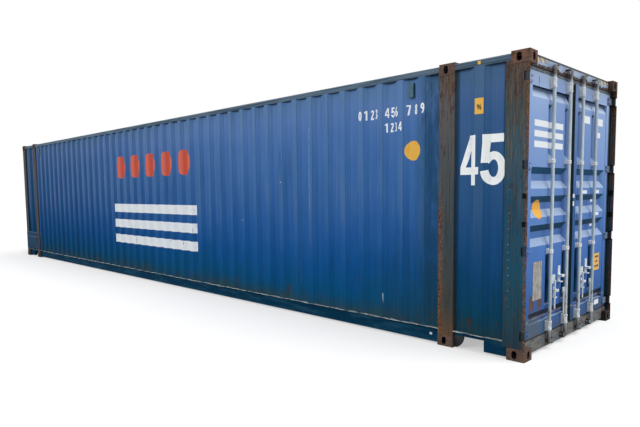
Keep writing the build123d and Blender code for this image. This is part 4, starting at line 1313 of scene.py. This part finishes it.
def dress_nodes():
    """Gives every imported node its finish, and returns the finishes that new pieces share."""
    side_paint = side_wall_paint()
    left_paint = leaf_paint("blue_alkyd_paint_left_leaf", LEFT_LEAF_BARS, [LEFT_LEAF_SPOT])
    right_paint = leaf_paint("blue_alkyd_paint_right_leaf", RIGHT_LEAF_BARS)
    mid_edge = (5.925, 0.075, 1.5)
    mid_post = rusted_paint("rusted_mid_post_paint", MID_POST_TONES, 0.56, 0.64, mid_edge)
    door_edge = (HALF_LENGTH, 0.05, 3.5)
    inner = SIDE_FACE - 7 * MM
    door_post = rusted_paint(
        "weathered_door_post_paint", DOOR_POST_TONES, 0.55, 0.63, door_edge, inner
    )
    front_frame = rusted_paint("weathered_front_frame_paint", FRONT_POST_TONES, 0.55, 0.66)
    casting = casting_rust()
    rubber = seal_rubber()
    fitting = fitting_zinc()
    blade = blade_paint()
    zinc = bar_zinc()
    finishes = {
        "left_side_wall": side_paint,
        "right_side_wall": side_paint,
        "bay_side_panels": side_paint,
        "front_wall": side_paint,
        "front_bay_plates": repair_paint(),
        "mid_posts": mid_post,
        "door_corner_posts": door_post,
        "front_corner_posts": front_frame,
        "front_header": front_frame,
        "front_sill": front_frame,
        "corner_castings": casting,
        "mid_castings": casting,
        "top_side_rails": top_rail_paint(),
        "bottom_side_rails": bottom_rail_paint(),
        "bay_bottom_rails": bottom_rail_paint(),
        "gusset_plates": underframe_paint(),
        "floor_cross_members": underframe_paint(),
        "floor_deck": plywood(),
        "roof_sheet": roof_paint(),
        "door_header": header_paint(),
        "door_sill": sill_paint(),
        "bar_keepers": keeper_rust(),
        "hinge_lugs": door_post,
        "side_vents": vent_plastic(),
        "data_plate": stained_plate(),
        "left_door_frame": left_paint,
        "left_door_panel": left_paint,
        "right_door_frame": right_paint,
        "right_door_panel": right_paint,
    }
    for leaf in ("left_door", "right_door"):
        finishes[f"{leaf}_seal"] = rubber
        finishes[f"{leaf}_hinge_blades"] = blade
        finishes[f"{leaf}_bar_brackets"] = fitting
        finishes[f"{leaf}_handle_catches"] = fitting
    for i in (1, 2, 3, 4):
        finishes[f"locking_bar_{i}"] = zinc
        finishes[f"handle_{i}"] = zinc
    for name, material in finishes.items():
        mesh = nodes[name].data
        mesh.materials.clear()
        mesh.materials.append(material)
    return {
        "rubber": rubber,
        "fitting": fitting,
        "zinc": zinc,
        "blade": blade,
        "bolt": bolt_steel(),
    }


SIDES = ((-1, "left"), (1, "right"))

# Numbers as digits, place, span and height, and the plates' and bars' limits
NUMBER_GROUPS = (
    ("0123", (4.840, 2.436), 0.280, 0.108),
    ("456", (5.212, 2.436), 0.188, 0.108),
    ("789", (5.500, 2.436), 0.240, 0.108),
    ("1234", (5.212, 2.276), 0.240, 0.100),
)
LENGTH_NUMBER = ("45", (6.148, 1.673), 0.480, 0.489)
PLATE_NUMBER = ("96", (6.340, 2.400), 0.050, 0.055)
WALL_DISC = ((5.585, 2.055), 0.105)
SIDE_PLATES = (
    ("height_plate", 6.318, 6.410, 2.360, 2.512),
    ("rail_patch", 6.345, 6.375, 2.832, 2.862),
)
PLACARD = (0.745, 0.925, 0.655, 0.855)
PLACARD_BARS = ((0.775, 0.895, 0.805), (0.805, 0.865, 0.748), (0.770, 0.900, 0.692))
PLACARD_BAR_HEIGHT = 22 * MM
FILM_GAP = 0.3 * MM
FILM_THICK = 1.2 * MM


def leaf_corners(x, y0, y1, z0, z1):
    """Corners of an upright rectangle on a leaf's face."""
    return [(x, y0, z0), (x, y1, z0), (x, y1, z1), (x, y0, z1)]


def add_marks():
    """Plain numbers, discs and plates of both sides, and the placard on the right leaf."""
    white = mark_vinyl("off_white_marking_paint", "#eef3f4", "#a9b9c4")
    yellow = mark_vinyl("yellow_vinyl", "#dfac40", "#b98d2c")
    black = mark_vinyl("black_vinyl", "#1d2326", "#39464f")
    for side, label in SIDES:
        number_piece(f"length_number_{label}", *LENGTH_NUMBER, bay_y, side, white)
        for i, group in enumerate(NUMBER_GROUPS, 1):
            number_piece(f"plain_number_{i}_{label}", *group, wall_y, side, white)
        disc_piece(f"plain_disc_{label}", *WALL_DISC, wall_y, side, yellow)
        number_piece(f"plate_digits_{label}", *PLATE_NUMBER, plate_y, side, black)
        y = side * (SIDE_FACE + FILM_GAP)
        for name, x0, x1, z0, z1 in SIDE_PLATES:
            corners = [(x0, y, z0), (x1, y, z0), (x1, y, z1), (x0, y, z1)][::-side]
            out = (0, side, 0)
            plate_piece(f"{name}_{label}", corners, out, FILM_THICK, "container", yellow)
    panel = PANEL_FACE + FILM_GAP
    out = (1, 0, 0)
    corners = leaf_corners(panel, *PLACARD)
    plate_piece("leaf_placard", corners, out, FILM_THICK, "right_door", yellow)
    front = panel + FILM_THICK + 0.2 * MM
    for i, (y0, y1, z0) in enumerate(PLACARD_BARS, 1):
        corners = leaf_corners(front, y0, y1, z0, z0 + PLACARD_BAR_HEIGHT)
        plate_piece(f"placard_bar_{i}", corners, out, 0.4 * MM, "right_door", black)


# Seats and spacings of the bolts, clamps and rivets
KEEPER_HEIGHTS = (0.085, 2.815)
KEEPER_FROM_BAR = 52.5 * MM
KEEPER_FACE = LEAF_FACE + 6 * MM
BLADE_FACE = LEAF_FACE + 12 * MM
BLADE_HALF = 38 * MM
BLADE_PITCH = 0.804
CLAMP_FRONT = BAR_X + 8 * MM
CLAMP_EDGES = (20 * MM, 37.5 * MM)
CLAMP_BAND = (17.6 * MM, 23.5 * MM, 10 * MM)
END_BRACKET_INSET = 55 * MM
END_CLAMP = 47 * MM
MID_CLAMP = 19 * MM
RIVET_INSET = 12 * MM


def bolts(name, places, body, material, profile=HEX_BOLT):
    """Hexagon heads at many places as one mesh."""
    points, faces = copies(*turned_head(profile, 6), places)
    make_piece(name, points, faces, body, material)


def add_clamps(leaf, bars, finish):
    """Blocks beside each bar, bands round it and bolts on the blocks, at a leaf's brackets."""
    metal = finish["fitting"]
    low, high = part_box(f"{leaf}_bar_brackets")
    ends = (low[2] + END_BRACKET_INSET, high[2] - END_BRACKET_INSET)
    inner, outer = CLAMP_EDGES
    middle = (inner + outer) / 2
    places = []
    for kind, heights, half, seat in (
        ("end", ends, END_CLAMP, LEAF_FACE),
        ("mid", MID_BRACKET_HEIGHTS, MID_CLAMP, PANEL_FACE),
    ):
        centres = [(bar, z) for bar in bars for z in heights]
        blocks = [
            box_shape((seat + 4 * MM, y0, -half), (CLAMP_FRONT, y1, half))
            for y0, y1 in ((-outer, -inner), (inner, outer))
        ]
        points = np.concatenate([block[0] for block in blocks])
        faces = blocks[0][1] + [tuple(i + 8 for i in face) for face in blocks[1][1]]
        points, faces = copies(points, faces, [(0, bar, z) for bar, z in centres])
        make_piece(f"{leaf}_{kind}_clamp_blocks", points, faces, leaf, metal)
        reach = half - 7 * MM
        rings = [(BAR_X, bar, z + dz) for bar, z in centres for dz in (-reach, reach)]
        points, faces = copies(*clamp_band(*CLAMP_BAND), rings)
        make_piece(f"{leaf}_{kind}_clamp_bands", points, faces, leaf, metal)
        rows = (-reach * 0.8, reach * 0.8) if kind == "end" else (0.0,)
        for dy in (-middle, middle):
            places += [(CLAMP_FRONT, bar + dy, z + dz) for bar, z in centres for dz in rows]
    bolts(f"{leaf}_clamp_bolts", places, leaf, finish["bolt"], SMALL_BOLT)


def add_fasteners(finish):
    """Clamps and bolts of the bars, hinge straps and keepers, and the rivets of the data plate."""
    keeper_places = []
    for side, label in SIDES:
        leaf = f"{label}_door"
        bars = [bar for bar, owner in zip(BAR_YS, LEAF_OF_BAR) if owner == leaf]
        add_clamps(leaf, bars, finish)
        for bar in bars:
            toward = 1 if BAR_YS.index(bar) in (0, 2) else -1
            middle = bar + toward * KEEPER_FROM_BAR
            across = (middle - 12 * MM, middle + 12 * MM)
            keeper_places += [(KEEPER_FACE, y, z) for y in across for z in KEEPER_HEIGHTS]
        low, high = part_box(f"{leaf}_hinge_blades")
        lap = min(abs(low[1]), abs(high[1]))
        places = [
            (BLADE_FACE, side * (lap + dy), low[2] + BLADE_HALF + i * BLADE_PITCH + dz)
            for i in range(4)
            for dy in (16 * MM, 44 * MM)
            for dz in (-21 * MM, 21 * MM)
        ]
        bolts(f"{leaf}_hinge_bolts", places, leaf, finish["blade"])
    bolts("keeper_bolts", keeper_places, "container", finish["bolt"])
    low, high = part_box("data_plate")
    ys = (low[1] + RIVET_INSET, high[1] - RIVET_INSET)
    zs = np.linspace(low[2] + RIVET_INSET, high[2] - RIVET_INSET, 4)
    places = [(high[0], y, z) for y in ys for z in zs]
    points, faces = copies(*turned_head(ROUND_RIVET, 12), places)
    zinc = finish["zinc"]
    make_piece("data_plate_rivets", points, faces, "left_door", zinc, smooth=True)


def add_lips(finish):
    """Worn lips along the bottom rails, and the raised ribs of the door seals."""
    lip = worn_and_highlit_lip()
    for side, label in SIDES:
        lip_piece(f"rail_lip_{label}", side, -WALL_END + 1 * MM, WALL_END - 1 * MM, lip)
        lip_piece(f"bay_lip_{label}", side, BAY_START + 1 * MM, BAY_END - 1 * MM, lip)
    for side, label in SIDES:
        seal_lips(f"{label}_seal_ribs", f"{label}_door", side, finish["rubber"])


# Stage, light and camera

STAGE_HALF = 60.0


def seen_directly(tree):
    """White for camera, glossy and transmission rays, black for light that has bounced."""
    path = put(tree, "LightPath", out=None)
    names = ("Is Camera Ray", "Is Glossy Ray", "Is Transmission Ray")
    return either(tree, [path[name] for name in names])


def add_stage():
    """Pale floor that keeps the shadow and glows enough to end in the white around it."""
    half = STAGE_HALF
    mesh = bpy.data.meshes.new("floor_stage")
    corners = [(-half, -half, 0), (half, -half, 0), (half, half, 0), (-half, half, 0)]
    mesh.from_pydata(corners, [], [(0, 1, 2, 3)])
    floor = bpy.data.objects.new("floor_stage", mesh)
    bpy.context.scene.collection.objects.link(floor)
    material, tree = new_material("pale_floor")
    seen = seen_directly(tree)
    shown = over(tree, (0.3, 0.3, 0.3, 1), (0.86, 0.86, 0.86, 1), seen)
    diffuse = put(tree, "BsdfDiffuse", {"Color": shown})
    glow = put(tree, "Emission", {"Strength": 1.0})
    mixed = put(tree, "MixShader", {0: times(tree, seen, 0.45), 1: diffuse, 2: glow})
    put(tree, "OutputMaterial", {"Surface": mixed}, out=None)
    mesh.materials.append(material)


def add_world():
    """Even soft light, white where the camera, glossy or glass rays see it."""
    world = bpy.data.worlds.new("studio")
    bpy.context.scene.world = world
    world.use_nodes = True
    tree = world.node_tree
    tree.nodes.clear()
    strength = between(tree, seen_directly(tree), 0.0, 1.0, 0.55, 1.0)
    background = put(tree, "Background", {0: (1, 1, 1, 1), 1: strength})
    put(tree, "OutputWorld", {0: background}, out=None)


def add_sun(name, toward, strength, angle):
    """Soft distant lamp that shines along a direction."""
    data = bpy.data.lights.new(name, "SUN")
    data.energy = strength
    data.angle = math.radians(angle)
    lamp = bpy.data.objects.new(name, data)
    lamp.rotation_euler = Vector(toward).to_track_quat("-Z", "Y").to_euler()
    bpy.context.scene.collection.objects.link(lamp)


def add_camera():
    """Camera at the fitted place: forward from yaw and pitch, then rolled about it."""
    yaw, pitch, roll = (math.radians(a) for a in (CAMERA_YAW, CAMERA_PITCH, CAMERA_ROLL))
    forward = Vector(
        (math.cos(yaw) * math.cos(pitch), math.sin(yaw) * math.cos(pitch), -math.sin(pitch))
    )
    right = forward.cross(Vector((0, 0, 1))).normalized()
    up = right.cross(forward)
    rolled_right = right * math.cos(roll) + up * math.sin(roll)
    rolled_up = up * math.cos(roll) - right * math.sin(roll)
    data = bpy.data.cameras.new("photo_view")
    data.sensor_width = SENSOR
    data.lens = FOCAL_PIXELS * SENSOR / IMAGE_WIDTH
    data.shift_x = (IMAGE_WIDTH / 2 - PRINCIPAL_POINT[0]) / IMAGE_WIDTH
    data.shift_y = (PRINCIPAL_POINT[1] - IMAGE_HEIGHT / 2) / IMAGE_WIDTH
    data.clip_end = 200
    camera = bpy.data.objects.new("photo_view", data)
    axes = Matrix((rolled_right, rolled_up, -forward)).transposed().to_4x4()
    camera.matrix_world = Matrix.Translation(CAMERA_AT) @ axes
    bpy.context.scene.collection.objects.link(camera)
    bpy.context.scene.camera = camera


finish = dress_nodes()
add_marks()
add_fasteners(finish)
add_lips(finish)
add_stage()
add_world()
add_sun("door_key", (-0.55, -0.20, -0.81), 2.7, 55)
add_sun("side_fill", (0.25, 0.85, -0.45), 1.45, 40)
add_camera()
bpy.context.scene.view_settings.view_transform = "Standard"

bpy.context.view_layer.update()
